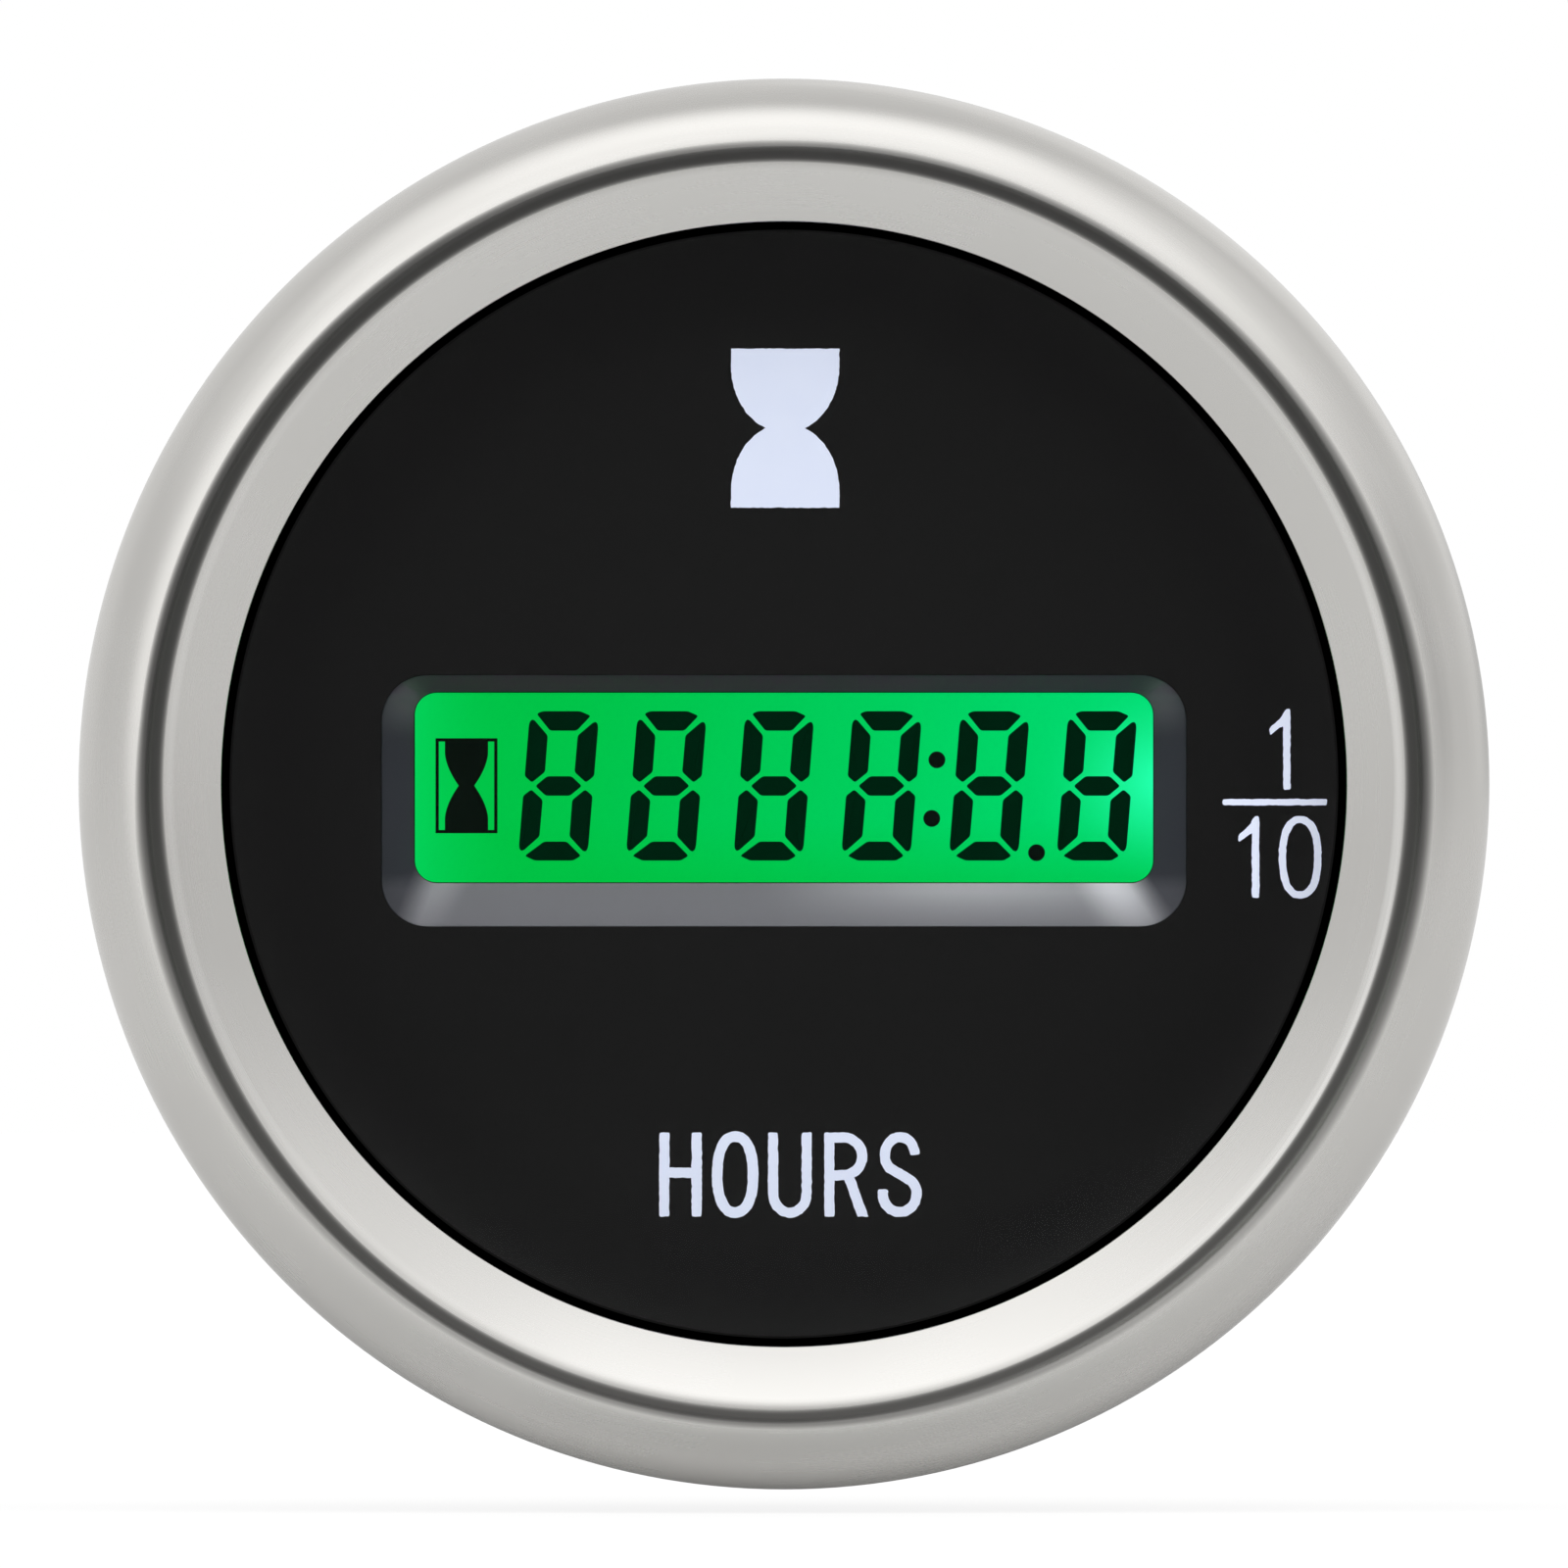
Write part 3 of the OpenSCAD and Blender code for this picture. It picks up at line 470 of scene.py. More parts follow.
# Painted light: the ink is paler towards its rim, to offset the shade that the bezel casts there.
rim = (((x * x + z * z) ** 0.5 / MM - RIM_START) / RIM_WIDTH).clamped() ** 3.0
tone = ink.blend(fine, (0.0045, 0.0045, 0.0045, 1), (0.0062, 0.0062, 0.0062, 1))
tone = ink.blend(rim, tone, (0.018, 0.018, 0.018, 1))
dial_ink = ink.shade(Base_Color=tone, Roughness=0.75 + (fine - 0.5) * 0.1, Normal=ink.bump(fine, 0.4, 2e-6))
dress(["dial"], dial_ink)

# %% [markdown]
# ## Window border
# The display sits in a pit with smooth sloped sides, wide below, narrow above. Two rounded rectangles
# are drawn, one at the dial and one at the display, and bridged. It lies just on top of the packed
# frame's slopes and rounds their corners. Light is painted into the plastic: the lower slope is pale as
# if lit, with painted highlights where the lamp beside the display would shine onto it, painted glints
# in the top corners and a faint magenta on the top slope against the display's green light. A hump is
# a smooth swelling of a value around a middle.

# %% Border outline and loft
WINDOW = (31.6, 8.2, -0.15, 1.0)
BORDER_SIDE, BORDER_TOP, BORDER_BOTTOM, BORDER_R = 1.35, 0.7, 1.83, 1.95
FRAME_FRONT, BORDER_DEPTH, LAND = 0.4, 1.6, 0.3


def rounded_outline(width, height, middle, radius, steps=12):
    points = []
    for side, end, start in ((1, 1, 0), (-1, 1, 90), (-1, -1, 180), (1, -1, 270)):
        corner = (side * (width / 2 - radius), middle + end * (height / 2 - radius))
        points += arc(corner, radius, start, start + 90, steps)
    return points


def loop(outline, forward):
    bpy.ops.mesh.primitive_circle_add(vertices=len(outline), radius=MM, fill_type="NOTHING")
    ring = bpy.context.object
    for vertex, (x, z) in zip(ring.data.vertices, outline):
        vertex.co = (x * MM, -forward * MM, z * MM)
    return ring


width, height, middle, radius = WINDOW
SKIN, UPSTAND = 0.02, 0.6
outer_width = width + 2 * BORDER_SIDE - 2 * SKIN
outer_height = height + BORDER_TOP + BORDER_BOTTOM - 2 * SKIN
outer_middle = middle + (BORDER_TOP - BORDER_BOTTOM) / 2
outer_edge = rounded_outline(outer_width, outer_height, outer_middle, BORDER_R)
inner_edge = rounded_outline(width - 2 * SKIN, height - 2 * SKIN, middle, radius)
pit = FRAME_FRONT - BORDER_DEPTH
levels = [(outer_edge, FRAME_FRONT + UPSTAND), (outer_edge, FRAME_FRONT),
          (inner_edge, pit), (inner_edge, pit - LAND)]
clear()
rings = [loop(outline, forward) for outline, forward in levels]
for ring in rings:
    ring.select_set(True)
bpy.ops.object.join()
border = bpy.context.object
border.name = "window_border"
edit_all()
bpy.ops.mesh.bridge_edge_loops()
bpy.ops.mesh.remove_doubles(threshold=1e-7)
bpy.ops.object.mode_set(mode="OBJECT")
print("border faces:", len(border.data.polygons))

# %% Border plastic
sheen = Finish("border_plastic", Specular_IOR_Level=0.03)
spot, x, y, z = sheen.place()
x_mm, z_mm = x / MM, z / MM
side_mm = (x_mm * x_mm) ** 0.5
grain = sheen.noise(spot, 1800.0, 3.0)
broad = sheen.noise(spot, 120.0, 2.0)


def hump(value, middle, reach):
    off = (value - middle) / reach
    rise = (1.0 - off * off).clamped()
    return rise * rise


# Painted light: the lower slope is paler, as if it faced the lamps, and turns dark into the sides along a
# slanted line at each corner.
LOW_EDGE, CORNER_X = height / 2 - middle, width / 2 + 0.25
at_right = x_mm.clamped()
corner_line = (-1.0 * z_mm - LOW_EDGE) * (at_right * 0.3 + 0.4) - side_mm + CORNER_X - at_right * 0.25
lower = (corner_line * 0.85).clamped() * (-1.0 * z_mm - 2.0).clamped()
# A little painted light spills onto the low ends of the sides.
light_spill = ((-1.0 * z_mm - 3.8) / 0.7).clamped() * (1.0 - lower) * 0.04
# Painted highlights on the lower slope: a broad one right of the middle, one near the display's lamp at the
# right, a small one at the left.
fade = ((z_mm + 6.9) / 2.3).clamped()
slant = (z_mm + 4.6) * 0.5
shine = (hump(x_mm, 8.5, 10.5) * fade * 0.25 + hump(x_mm + slant, 14.2, 1.9) * 0.43
         + hump(slant - x_mm, 14.9, 1.5) * 0.14)
# Painted glints in the top corners.
corner = hump(side_mm, 16.1, 1.6) * hump(z_mm, 3.8, 2.0) * 0.08
pale = lower * (0.175 + fade * shine) + light_spill + corner + (broad - 0.5) * 0.01 + 0.049
tone = sheen.blend(pale.clamped(), (0.0, 0.001, 0.011, 1), (0.98, 0.965, 1.04, 1))
# The top slope is painted a faint magenta, against the green light that the display throws on it.
tone = sheen.blend((z_mm * 5.0 - 18.8).clamped() * (1.0 - corner / 0.09), tone, (0.082, 0.007, 0.078, 1))
border_plastic = sheen.shade(Base_Color=tone, Roughness=0.35 + (broad - 0.5) * 0.1,
                             Normal=sheen.bump(grain, 0.2, 2e-6))
dress([border, "window_frame"], border_plastic)
finish(border, "gauge", angle=30)

# %% Painted shadow line around the window
# A thin black ring just behind the film's edge is painted shadow where the border meets the film.
LINE_W, LINE_DEPTH = 0.04, 0.1
clear()
window_shadow_line = [loop(rounded_outline(width - 2 * inset, height - 2 * inset, middle, radius - inset),
                    pit - LINE_DEPTH) for inset in (SKIN, SKIN + LINE_W)]
for ring in window_shadow_line:
    ring.select_set(True)
bpy.ops.object.join()
shadow_line = bpy.context.object
shadow_line.name = "window_shadow_line"
edit_all()
bpy.ops.mesh.bridge_edge_loops()
bpy.ops.mesh.extrude_region_move(TRANSFORM_OT_translate={"value": (0, LINE_DEPTH * MM, 0)})
tidy()
dress([shadow_line], black_and_shadow)
finish(shadow_line, "gauge", angle=30)

# %% [markdown]
# ## Lit display
# A green film glows behind the figures, brightest beside the lamp at its right end, a little stronger
# again at its left end and weaker along its lower edge. The glow is part of the material: it depends on
# the place on the film and not on where we look from.

# %% Display film
LAMP_X, LAMP_Z, LAMP_REACH, LEFT_REACH = 16.2, 0.1, 5.8, 4.5
film = Finish("lit_film", Roughness=0.5, Specular_IOR_Level=0.0, Emission_Strength=1.0)
spot, x, y, z = film.place()
x_mm, z_mm = x / MM, z / MM
from_left = x_mm + width / 2
along = (from_left / width).clamped()
off_x, off_z = x_mm - LAMP_X, z_mm - LAMP_Z
near = (off_x * off_x + off_z * off_z * 1.5) ** 0.5
lamp_glow = (1.0 - near / LAMP_REACH).clamped() ** 2.0
haze = film.noise(spot, 160.0, 2.0)
low = ((-1.0 * z_mm - 1.5) / 2.5).clamped()
richer = along ** 1.6 * (1.0 - low * 0.55) - low * 0.06 + (haze - 0.5) * 0.06
green = film.blend(richer.clamped(), (0.0, 0.55, 0.056, 1), (0.0, 0.73, 0.172, 1))
left_glow = (1.0 - from_left / LEFT_REACH).clamped() ** 2.0
green = film.blend(left_glow, green, (0.001, 0.65, 0.10, 1))
green = film.blend(lamp_glow, green, (0.02, 1.1, 0.47, 1))
lit_film = film.shade(Base_Color=(0.0, 0.01, 0.003, 1), Emission_Color=green)
dress(["front_film"], lit_film)

# %% [markdown]
# ## Figures on the display
# Six leaning figure-of-eights, a colon, a point and a small hourglass in a box. Each segment is a flat
# shape with eased corners. One digit is drawn once as outlines and moved along for each place. A side
# bar is drawn once too and flipped to its four places, where only the height of its tip differs.

# %% Digit outlines
LEAN = math.tan(math.radians(4.7))
DIGIT_MIDDLE, DIGIT_START, DIGIT_PITCH, DIGITS = -0.085, -9.612, 4.591, 6
top_bar = [(-0.94, 3.19), (0.66, 3.19), (1.13, 2.99), (0.58, 2.36), (-0.56, 2.36), (-1.19, 3.08)]
bottom_bar = [(-0.76, -3.18), (0.88, -3.18), (1.20, -2.98), (0.54, -2.37), (-0.42, -2.37), (-1.20, -2.98)]
middle_bar = [(-0.99, 0.0), (-0.52, 0.415), (0.52, 0.415), (0.99, 0.0), (0.52, -0.415), (-0.52, -0.415)]


def side_bar(tip):
    return [(-1.48, tip - 0.24), (-1.43, tip - 0.03), (-1.29, tip), (-0.64, 2.15), (-0.63, 0.60),
            (-1.15, 0.15), (-1.48, 0.42)]


def flipped(outline, across, along):
    points = [(across * px, along * pz) for px, pz in outline]
    return points if across * along > 0 else points[::-1]


digit = [top_bar[::-1], bottom_bar, middle_bar[::-1]]
sides = ((1, 1, 2.84), (1, -1, 2.77), (-1, 1, 2.74), (-1, -1, 2.80))
digit += [flipped(side_bar(tip), across, along)[::-1] for across, along, tip in sides]
segments = []
for place in range(DIGITS):
    middle_x = DIGIT_START + place * DIGIT_PITCH
    for outline in digit:
        segments.append([(middle_x + px + pz * LEAN, DIGIT_MIDDLE + pz) for px, pz in outline])
print("segments:", len(segments))

# %% Dots, box and small hourglass
def hourglass(middle, wide, tall, narrowed, steps=32):
    side = []
    for i in range(steps + 1):
        t = math.sin(math.pi / 2 * i / steps)
        side.append((wide / 2 * narrowed(t), tall / 2 * (1 - t)))
    right = side + [(px, -pz) for px, pz in side[-2::-1]]
    left = [(-px, pz) for px, pz in right[::-1]]
    return [(middle[0] + px, middle[1] + pz) for px, pz in right + left][::-1]


def waisted(t, neck=0.36, start=0.25, fall=1.7):
    way = max(0.0, (t - start) / (1 - start))
    return 1 - (1 - neck) * way ** fall


def round_bulb(t, neck=0.36, start=0.22):
    way = max(0.0, (t - start) / (1 - start))
    return math.sqrt(1 - (1 - neck * neck) * way * way)


def bar(low, high):
    return [(low[0], low[1]), (high[0], low[1]), (high[0], high[1]), (low[0], high[1])]


DOT_R, COLON_TOP, COLON_LOW, POINT = 0.36, (6.52, 1.03), (6.30, -1.47), (10.77, -2.93)
BOX, LINE, GLASS_WIDE = ((-14.86, -2.10), (-12.22, 1.95)), 0.14, 1.84
dots = [arc(dot, DOT_R, 0, 345, 23) for dot in (COLON_TOP, COLON_LOW, POINT)]
(left_x, low_z), (right_x, high_z) = BOX
box_lines = [bar((left_x, low_z), (left_x + LINE, high_z)), bar((right_x - LINE, low_z), (right_x, high_z)),
             bar((left_x + LINE, low_z), (right_x - LINE, low_z + LINE)),
             bar((left_x + LINE, high_z - LINE), (right_x - LINE, high_z))]
box_middle = ((left_x + right_x) / 2, (low_z + high_z) / 2)
small_glass = hourglass(box_middle, GLASS_WIDE, high_z - low_z - 2 * LINE, waisted)
FILM_FRONT, FIGURE_T = 1.5, 0.06
figures = plates("display_figures", segments, FILM_FRONT - FIGURE_T, FIGURE_T, corner=0.09)
marks = plates("display_marks", dots + box_lines + [small_glass], FILM_FRONT - FIGURE_T, FIGURE_T)

# %% Figure finishes
MOTTLE = 700.0
figure_ink = Finish("figure_ink", Specular_IOR_Level=0.0, Emission_Strength=1.0)
mottle = figure_ink.noise(figure_ink.spot(), MOTTLE, 3.0)
leak = figure_ink.blend(mottle, (0.0, 0.010, 0.003, 1), (0.0, 0.014, 0.005, 1))
segment_dark = figure_ink.shade(Base_Color=(0.0, 0.003, 0.001, 1), Roughness=0.5 + (mottle - 0.5) * 0.1,
                                Emission_Color=leak)
mark_ink = Finish("mark_ink", Specular_IOR_Level=0.05)
mottle = mark_ink.noise(mark_ink.spot(), MOTTLE, 3.0)
mark_dark = mark_ink.shade(Base_Color=mark_ink.blend(mottle, (0.0, 0.003, 0.001, 1), (0.0, 0.005, 0.002, 1)),
                           Roughness=0.6 + (mottle - 0.5) * 0.1)
dress([figures, "lcd_segments"], segment_dark)
dress([marks], mark_dark)
finish(figures, "gauge", ["lcd_segments"])
finish(marks, "gauge")

# %% [markdown]
# ## Print on the dial
# The dial carries an hourglass, the fraction of an hour that the last digit counts and the unit. They
# are a pale ink, a little blue. Strokes are ribbons along a chain of points, and curves get many points.
# Ink that is pressed through a screen has slightly ragged edges, so each outline gets many more points
# and each point sways a little with a smooth noise. The ink also has a faint painted glow, stronger
# towards the right, that lifts it as painted light where the bezel shades the dial.

# %% Strokes
def ribbon(points, wide, closed=False, ease=0.07):
    count = len(points)
    left, right = [], []
    for i, (px, pz) in enumerate(points):
        before = points[i - 1] if i or closed else points[i]
        after = points[(i + 1) % count] if i < count - 1 or closed else points[i]
        a = Vector((px - before[0], pz - before[1]))
        b = Vector((after[0] - px, after[1] - pz))
        a = a.normalized() if a.length else b.normalized()
        b = b.normalized() if b.length else a
        across = Vector((-(a.y + b.y), a.x + b.x)).normalized()
        reach = wide / 2 / max(0.5, across.dot(Vector((-a.y, a.x))))
        left.append((px + across.x * reach, pz + across.y * reach))
        right.append((px - across.x * reach, pz - across.y * reach))
    if not closed and ease:
        for chain, other in ((left, right), (right, left)):
            for at, onward in ((0, 1), (-1, -2)):
                corner, inward = Vector(chain[at]), Vector(other[at]) - Vector(chain[at])
                along = (Vector(chain[onward]) - corner).normalized() * ease
                inward = inward.normalized() * ease
                eased = [corner + inward, corner + (inward + along) * 0.29, corner + along]
                eased = [tuple(point) for point in eased]
                if at == 0:
                    chain[0:1] = eased
                else:
                    chain[-1:] = eased[::-1]
    if closed:
        half = count // 2
        ends = [list(range(0, half + 1)), list(range(half, count)) + [0]]
        return [[left[i] for i in end] + [right[i] for i in reversed(end)] for end in ends]
    return [left + right[::-1]]


def oval(middle, half_wide, half_tall, power=2.4, steps=48):
    points = []
    for i in range(steps):
        t = 2 * math.pi * i / steps
        c, s = math.cos(t), math.sin(t)
        points.append((middle[0] + half_wide * math.copysign(abs(c) ** (2 / power), c),
                       middle[1] + half_tall * math.copysign(abs(s) ** (2 / power), s)))
    return points


# %% Letters and numerals
BASE, CAP, PEN = -18.43, 3.58, 0.43
H_HALF, H_BAR, U_HALF, U_BEND = 0.69, 1.87, 0.716, 0.98


def bow(middle, half_wide, half_tall, start, end, steps=20):
    turns = [math.radians(start + (end - start) * i / steps) for i in range(steps + 1)]
    return [(middle[0] + half_wide * math.cos(t), middle[1] + half_tall * math.sin(t)) for t in turns]


def letter_h(x):
    left, right = x - H_HALF, x + H_HALF
    stems = [ribbon([(stem, BASE), (stem, BASE + CAP)], PEN) for stem in (left, right)]
    return stems[0] + stems[1] + ribbon([(left, BASE + H_BAR), (right, BASE + H_BAR)], PEN)


def letter_o(x):
    return ribbon(oval((x, BASE + CAP / 2), 0.765, CAP / 2 - PEN / 2 + 0.04, 2.3), PEN + 0.02, closed=True)


def letter_u(x):
    bowl = bow((x, BASE + U_BEND), U_HALF, U_BEND - 0.17, 180, 360, 16)
    return ribbon([(x - U_HALF, BASE + CAP)] + bowl + [(x + U_HALF, BASE + CAP)], PEN)


def letter_r(x):
    stem, top, low = x - 0.70, BASE + CAP - PEN / 2, BASE + 1.76
    bend = (top - low) / 2
    bowl = [(stem, top)] + arc((x - 0.10, (top + low) / 2), bend, 90, -90, 16) + [(stem, low)]
    half = PEN * 0.55
    leg = [(x + 0.10 - half, low), (x + 0.74 - half, BASE), (x + 0.74 + half, BASE), (x + 0.10 + half, low)]
    return ribbon([(stem, BASE), (stem, BASE + CAP)], PEN) + ribbon(bowl, PEN, ease=0) + [leg]


def letter_s(x):
    upper = bow((x + 0.01, BASE + 2.62), 0.64, 0.77, 0, 225)
    lower = bow((x, BASE + 0.97), 0.72, 0.78, 45, -194)
    return ribbon(upper + lower, PEN)


def figure_one(x, low, high, half=0.165, ease=0.05):
    flag = [(half, -0.10), (0.11, -0.01), (0.0, -0.01), (-0.08, -0.09), (-0.21, -0.32), (-0.48, -0.60),
            (-0.68, -0.78), (-0.735, -0.88), (-0.725, -1.08), (-0.68, -1.11), (-0.48, -0.94), (-0.30, -0.80),
            (-half, -0.75)]
    foot = [(-half, low + ease), (ease - half, low), (half - ease, low), (half, low + ease)]
    return [[(x + px, high + pz) for px, pz in flag] + [(x + px, pz) for px, pz in foot]]


def screened(outline, step=0.08, sway=0.03, ripples=7.0):
    points = []
    for (x0, z0), (x1, z1) in zip(outline, outline[1:] + outline[:1]):
        parts = max(1, round(math.hypot(x1 - x0, z1 - z0) / step))
        for i in range(parts):
            point = Vector((x0 + (x1 - x0) * i / parts, 0, z0 + (z1 - z0) * i / parts))
            point += noise.noise_vector(point * ripples) * sway
            points.append((point.x, point.z))
    return points


print("lettering ready")

# %% Dial print
THIN, RULE_Z, RULE_W = 0.31, -0.775, 0.27
words = letter_h(-4.41) + letter_o(-2.08) + letter_u(0.25) + letter_r(2.63) + letter_s(4.93)
fraction = (figure_one(21.42, -0.24, 3.21, 0.155) + ribbon([(18.70, RULE_Z), (23.14, RULE_Z)], RULE_W)
            + figure_one(20.09, -4.85, -1.355, 0.16)
            + ribbon(oval((21.99, -3.12), 0.755, 1.61, 2.3), THIN, closed=True))
big_glass = hourglass((0.05, 15.16), 4.61, 6.78, round_bulb)
DIAL_FRONT, PRINT_T = -1.2, 0.02
# Without a seed of its own the noise starts from the clock, and the ragged edges change with each run.
RAGGED_SEED = 5
noise.seed_set(RAGGED_SEED)
printed = [screened(outline) for outline in words + fraction + [big_glass]]
dial_print = plates("dial_print", printed, DIAL_FRONT - PRINT_T, PRINT_T, stagger=0.004)
print_ink = Finish("pale_ink", Specular_IOR_Level=0.05, Emission_Strength=1.0)
spot, x, y, z = print_ink.place()
mottle = print_ink.noise(spot, MOTTLE, 3.0)
# Painted light: the ink glows faintly, more towards the right, to lift it where the bezel shades the dial.
painted_glow_right = ((x / MM - 8.0) / 10.0).clamped()
through = print_ink.blend(painted_glow_right, (0.083, 0.088, 0.102, 1), (0.20, 0.21, 0.25, 1))
pale_ink = print_ink.shade(Base_Color=print_ink.blend(mottle, (0.72, 0.78, 0.96, 1), (0.76, 0.82, 0.98, 1)),
                           Roughness=0.7 + (mottle - 0.5) * 0.1, Emission_Color=through)
dress([dial_print], pale_ink)
finish(dial_print, "gauge")

# %% [markdown]
# ## Case, clamp and terminals
# The rear is plain engineering: a moulded case, a zinc-plated strip bent to a U, plated studs, turned
# brass nuts and stamped blades. The solids have the right shapes, so copies of them get eased edges.

# %% Rear finishes
def plated(name, colour, darker, rough, grain):
    skin = Finish(name, Metallic=1.0)
    spot = skin.spot()
    drawn = skin.noise(spot, grain, 3.0, stretch=(1.0, 0.08, 1.0))
    spangle = skin.noise(spot, 260.0, 5.0)
    tone = skin.blend((spangle * 0.7 + drawn * 0.3).clamped(), darker, colour)
    return skin.shade(Base_Color=tone, Roughness=rough + (spangle - 0.5) * 0.16 + (drawn - 0.5) * 0.06,
                      Normal=skin.bump(drawn, 0.3, 2.5e-6))


zinc_strip = plated("zinc_strip", (0.66, 0.67, 0.68, 1), (0.52, 0.53, 0.55, 1), 0.36, 3000.0)
zinc_bolt = plated("zinc_bolt", (0.70, 0.70, 0.67, 1), (0.55, 0.55, 0.53, 1), 0.30, 2500.0)
spring_dark = plated("spring_dark", (0.42, 0.42, 0.43, 1), (0.30, 0.30, 0.31, 1), 0.40, 2500.0)
turned_brass = plated("turned_brass", (0.80, 0.62, 0.30, 1), (0.66, 0.49, 0.21, 1), 0.28, 2600.0)
tinned = plated("tinned_blade", (0.78, 0.74, 0.62, 1), (0.66, 0.61, 0.48, 1), 0.30, 2600.0)
print("rear finishes ready")

# %% Soften the rear pieces
case = softened("housing", "gauge", 0.25)
dress([case, "housing", "case_rim"], case_skin)
strip = softened("clamp_bracket", "clamp", 0.2)
dress([strip, "clamp_bracket"], zinc_strip)
washers = softened("spring_washers", "clamp", 0.12)
dress([washers, "spring_washers"], spring_dark)
hex_nuts = softened("lock_nuts", "gauge", 0.1)
dress([hex_nuts, "lock_nuts"], zinc_bolt)
for side in ("left", "middle", "right"):
    blade = softened("blade_" + side, "gauge", 0.08)
    dress([blade, "blade_" + side], tinned)
for side in ("left", "right"):
    nut = softened("nut_" + side, side + "_nut", 0.06, angle=28)
    dress([nut, "nut_" + side], turned_brass)

# %% [markdown]
# ## Threaded studs
# A thread is one notch of a profile that climbs by its own height with each turn. The Screw modifier
# does just that, and a plain core closes the thread at both ends. Points that would stand out of the
# stud's chamfered tip are drawn in onto it.

# %% Threads
STUD_X, STUD_R, PITCH, CHAMFER = 15.0, 2.0, 0.7, 0.6
CASE_FLOOR, CASE_REAR, STUD_END = -30.0, -32.0, -55.5
HEAD_R, HEAD_T, TIP_EDGE = 3.6, 2, 0.1
THREAD_DEPTH, FLANK, LAND_W, START = 0.43, 0.31, 0.08, 0.02


def threaded_stud(name, side):
    core_r = STUD_R - THREAD_DEPTH
    tip = [(0, STUD_END), (core_r - TIP_EDGE, STUD_END), (core_r, STUD_END + TIP_EDGE)]
    shank = [(core_r, CASE_REAR), (STUD_R, CASE_REAR), (STUD_R, CASE_FLOOR)]
    head = [(HEAD_R, CASE_FLOOR), (HEAD_R, CASE_FLOOR + HEAD_T), (0, CASE_FLOOR + HEAD_T)]
    core = turned(name, tip + shank + head, steps=48)
    clear()
    bpy.ops.mesh.primitive_plane_add(size=MM)
    notch = bpy.context.object
    edit_all()
    bpy.ops.mesh.merge(type="CENTER")
    bpy.ops.transform.translate(value=(core_r * MM, -(STUD_END + START) * MM, 0))
    for out, up in ((THREAD_DEPTH, FLANK), (0, LAND_W), (-THREAD_DEPTH, FLANK)):
        bpy.ops.mesh.extrude_vertices_move(TRANSFORM_OT_translate={"value": (out * MM, -up * MM, 0)})
    bpy.ops.object.mode_set(mode="OBJECT")
    screw = notch.modifiers.new("thread", "SCREW")
    screw.axis = "Y"
    screw.steps = screw.render_steps = 32
    screw.screw_offset = -PITCH * MM
    screw.iterations = int((CASE_REAR - STUD_END) / PITCH) - 1
    screw.use_normal_calculate = True
    bpy.ops.object.modifier_apply(modifier=screw.name)
    for vertex in notch.data.vertices:
        past_tip = -vertex.co.y / MM - STUD_END
        limit = (STUD_R - CHAMFER + max(past_tip, 0.0)) * MM
        reach = math.hypot(vertex.co.x, vertex.co.z)
        if reach > limit:
            vertex.co.x *= limit / reach
            vertex.co.z *= limit / reach
    tidy()
    core.select_set(True)
    notch.select_set(True)
    bpy.context.view_layer.objects.active = core
    bpy.ops.object.join()
    edit_all()
    bpy.ops.transform.translate(value=(side * STUD_X * MM, 0, 0))
    bpy.ops.object.mode_set(mode="OBJECT")
    return core


for side, way in (("left", -1), ("right", 1)):
    stud = threaded_stud("thread_" + side, way)
    dress([stud, "stud_" + side], zinc_bolt)
    finish(stud, "gauge", ["stud_" + side], angle=40)

# %% [markdown]
# ## Inside the case
# Nothing behind the dial shows, but every solid still gets a finish of its own kind.

# %% Inner finishes
board_green = grained("board_green", (0.01, 0.10, 0.035, 1), (0.015, 0.16, 0.055, 1), 0.35, 900.0, 4e-6)
chip_black = grained("chip_black", (0.012, 0.012, 0.013, 1), (0.03, 0.03, 0.032, 1), 0.6, 2400.0, 8e-6)
tray_white = grained("tray_white", (0.72, 0.72, 0.70, 1), (0.82, 0.82, 0.80, 1), 0.5, 1500.0, 4e-6)
lead_red = grained("lead_red", (0.30, 0.015, 0.015, 1), (0.42, 0.03, 0.03, 1), 0.4, 1500.0, 4e-6)
sleeve_blue = grained("sleeve_blue", (0.02, 0.03, 0.10, 1), (0.04, 0.05, 0.14, 1), 0.3, 900.0, 3e-6)
strip_grey = grained("strip_grey", (0.20, 0.22, 0.25, 1), (0.36, 0.38, 0.41, 1), 0.7, 1800.0, 6e-6)
guide_clear = grained("guide_clear", (0.62, 0.80, 0.68, 1), (0.72, 0.90, 0.78, 1), 0.15, 600.0, 2e-6)
film_grey = grained("film_grey", (0.30, 0.34, 0.31, 1), (0.40, 0.44, 0.41, 1), 0.3, 900.0, 2e-6)
cell_glass = clear_glass("cell_glass", (0.3, 0.36, 0.32, 1), 1.0)
dress(["circuit_board"], board_green)
dress(["microcontroller", "memory_chip", "regulator", "diode"], chip_black)
dress(["light_tray"], tray_white)
dress(["terminal_leads"], lead_red)
dress(["capacitor"], sleeve_blue)
dress(["contact_strips"], strip_grey)
dress(["light_guide", "backlight_led"], guide_clear)
dress(["rear_film"], film_grey)
dress(["front_glass", "rear_glass"], cell_glass)
dress(["board_screws", "crystal"], zinc_bolt)

# %% [markdown]
# ## Stage and light
# The ground is white and so is what the camera sees behind it. One large soft lamp hangs above and in
# front, and a second one fills in from behind. The surroundings are a soft grey that is lighter behind
# the object. A broad bright panel stands in them above and to the left, and a dimmer patch to the right,
# so that the bezel has something to mirror. Straight in front they are dark, as the wall behind a camera
# is, so that the flat glass mirrors no haze onto the dial.

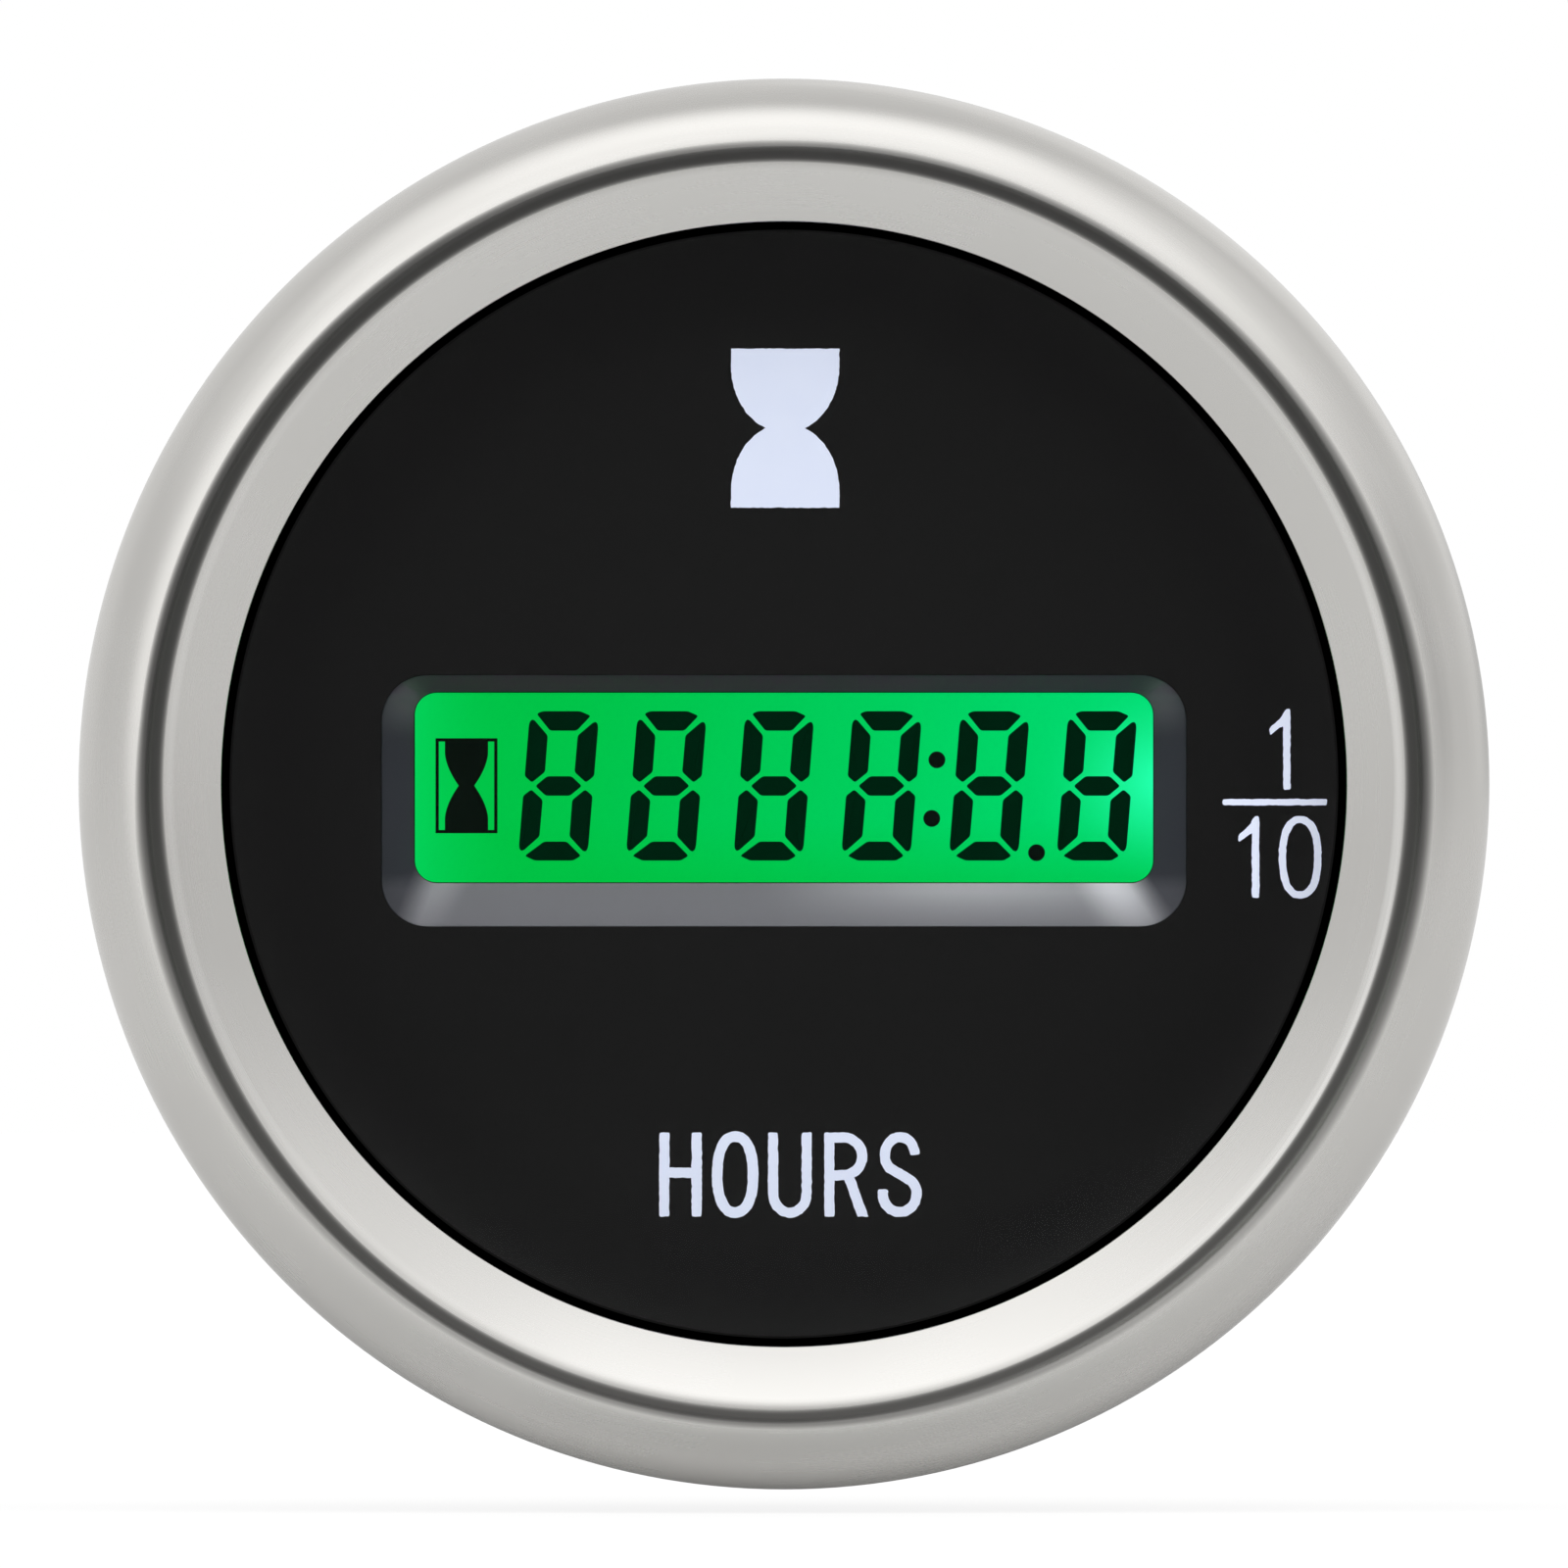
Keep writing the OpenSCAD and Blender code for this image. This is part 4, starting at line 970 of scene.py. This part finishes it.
# %% Floor
FLOOR, GLOW, SEEN_SHARE, MIRROR_SHARE = -31.0, 1.08, 0.8, 0.1
clear()
bpy.ops.mesh.primitive_plane_add(size=6, location=(0, 0, FLOOR * MM))
ground = bpy.context.object
ground.name = "ground"
paint = Finish("ground_white", Base_Color=(0.85, 0.85, 0.85, 1), Roughness=0.9)
seen = paint.node("LightPath", out="Is Camera Ray")
mirrored = paint.node("LightPath", out="Is Glossy Ray")
glow = paint.node("Emission", sockets={"Color": (1, 1, 1, 1), "Strength": GLOW})
matte = Wire(paint.tree, paint.shader.outputs[0])
shining = seen * SEEN_SHARE + mirrored * MIRROR_SHARE
mixed = paint.node("MixShader", sockets={0: shining, 1: matte, 2: glow})
paint.tree.links.new(mixed.socket, paint.tree.nodes["Material Output"].inputs["Surface"])
dress([ground], paint.material)

# %% Surroundings
GREY, PANEL, PANEL_FALL, PATCH, REAR = 0.84, 0.95, 0.35, 0.3, 0.12
PATCH_X, PATCH_WIDE, PATCH_TALL = 0.47, 0.40, 0.3
HOLE_EDGE, HOLE_CORE = -0.9962, -0.9986
world = bpy.data.worlds.new("surroundings")
bpy.context.scene.world = world
world.use_nodes = True
sky = Finish("surroundings", tree=world.node_tree)
back = world.node_tree.nodes["Background"]
sideways, toward, upward = sky.split(sky.node("TexCoord", out="Generated"))


def ramp(value, low, high):
    return sky.node("MapRange", {"interpolation_type": "SMOOTHSTEP"},
                    {"Value": value, "From Min": low, "From Max": high})


spread = sideways * sideways / (upward * upward + 0.10)
lift = upward - sideways * 0.55
narrowed = 1.0 / ((sideways * sideways) ** 1.5 * 11.0 + 1.0)
panel = (ramp(lift, -0.08, 0.15) * ramp(upward, 0.995, 0.74) * narrowed * ramp(spread, 3.5, 1.5)
         * ramp(toward, 0.1, -0.2))
hole = ramp(toward, HOLE_EDGE, HOLE_CORE)
dim_x, dim_z = (sideways - PATCH_X) / PATCH_WIDE, upward / PATCH_TALL
dim = (1.0 - dim_x * dim_x).clamped() * (1.0 - dim_z * dim_z).clamped()
level = GREY + panel * (PANEL - upward * PANEL_FALL) - dim * PATCH + ramp(toward, -0.2, 0.5) * REAR
level = level * (1.0 - hole)
camera_ray = sky.node("LightPath", out="Is Camera Ray")
strength = camera_ray + (1.0 - camera_ray) * level
back.inputs["Color"].default_value = (1, 1, 1, 1)
sky.tree.links.new(strength.socket, back.inputs["Strength"])
print("surroundings ready")

# %% Lamps
def softbox(name, place, width, depth, power, aim=(0, 0, 0)):
    lamp = bpy.data.lights.new(name, "AREA")
    lamp.shape = "RECTANGLE"
    lamp.size, lamp.size_y = width, depth
    lamp.energy = power
    holder = bpy.data.objects.new(name, lamp)
    holder.location = place
    holder.rotation_euler = (Vector(aim) - Vector(place)).to_track_quat("-Z", "Y").to_euler()
    bpy.context.scene.collection.objects.link(holder)
    return holder


softbox("key", (-0.15, -0.60, 0.75), 1.0, 0.6, 0.4)
softbox("rear_fill", (0.6, 0.9, 0.7), 1.2, 1.2, 0.6)
bpy.context.scene.view_settings.view_transform = "Standard"
print("lamps:", len(bpy.data.lights))
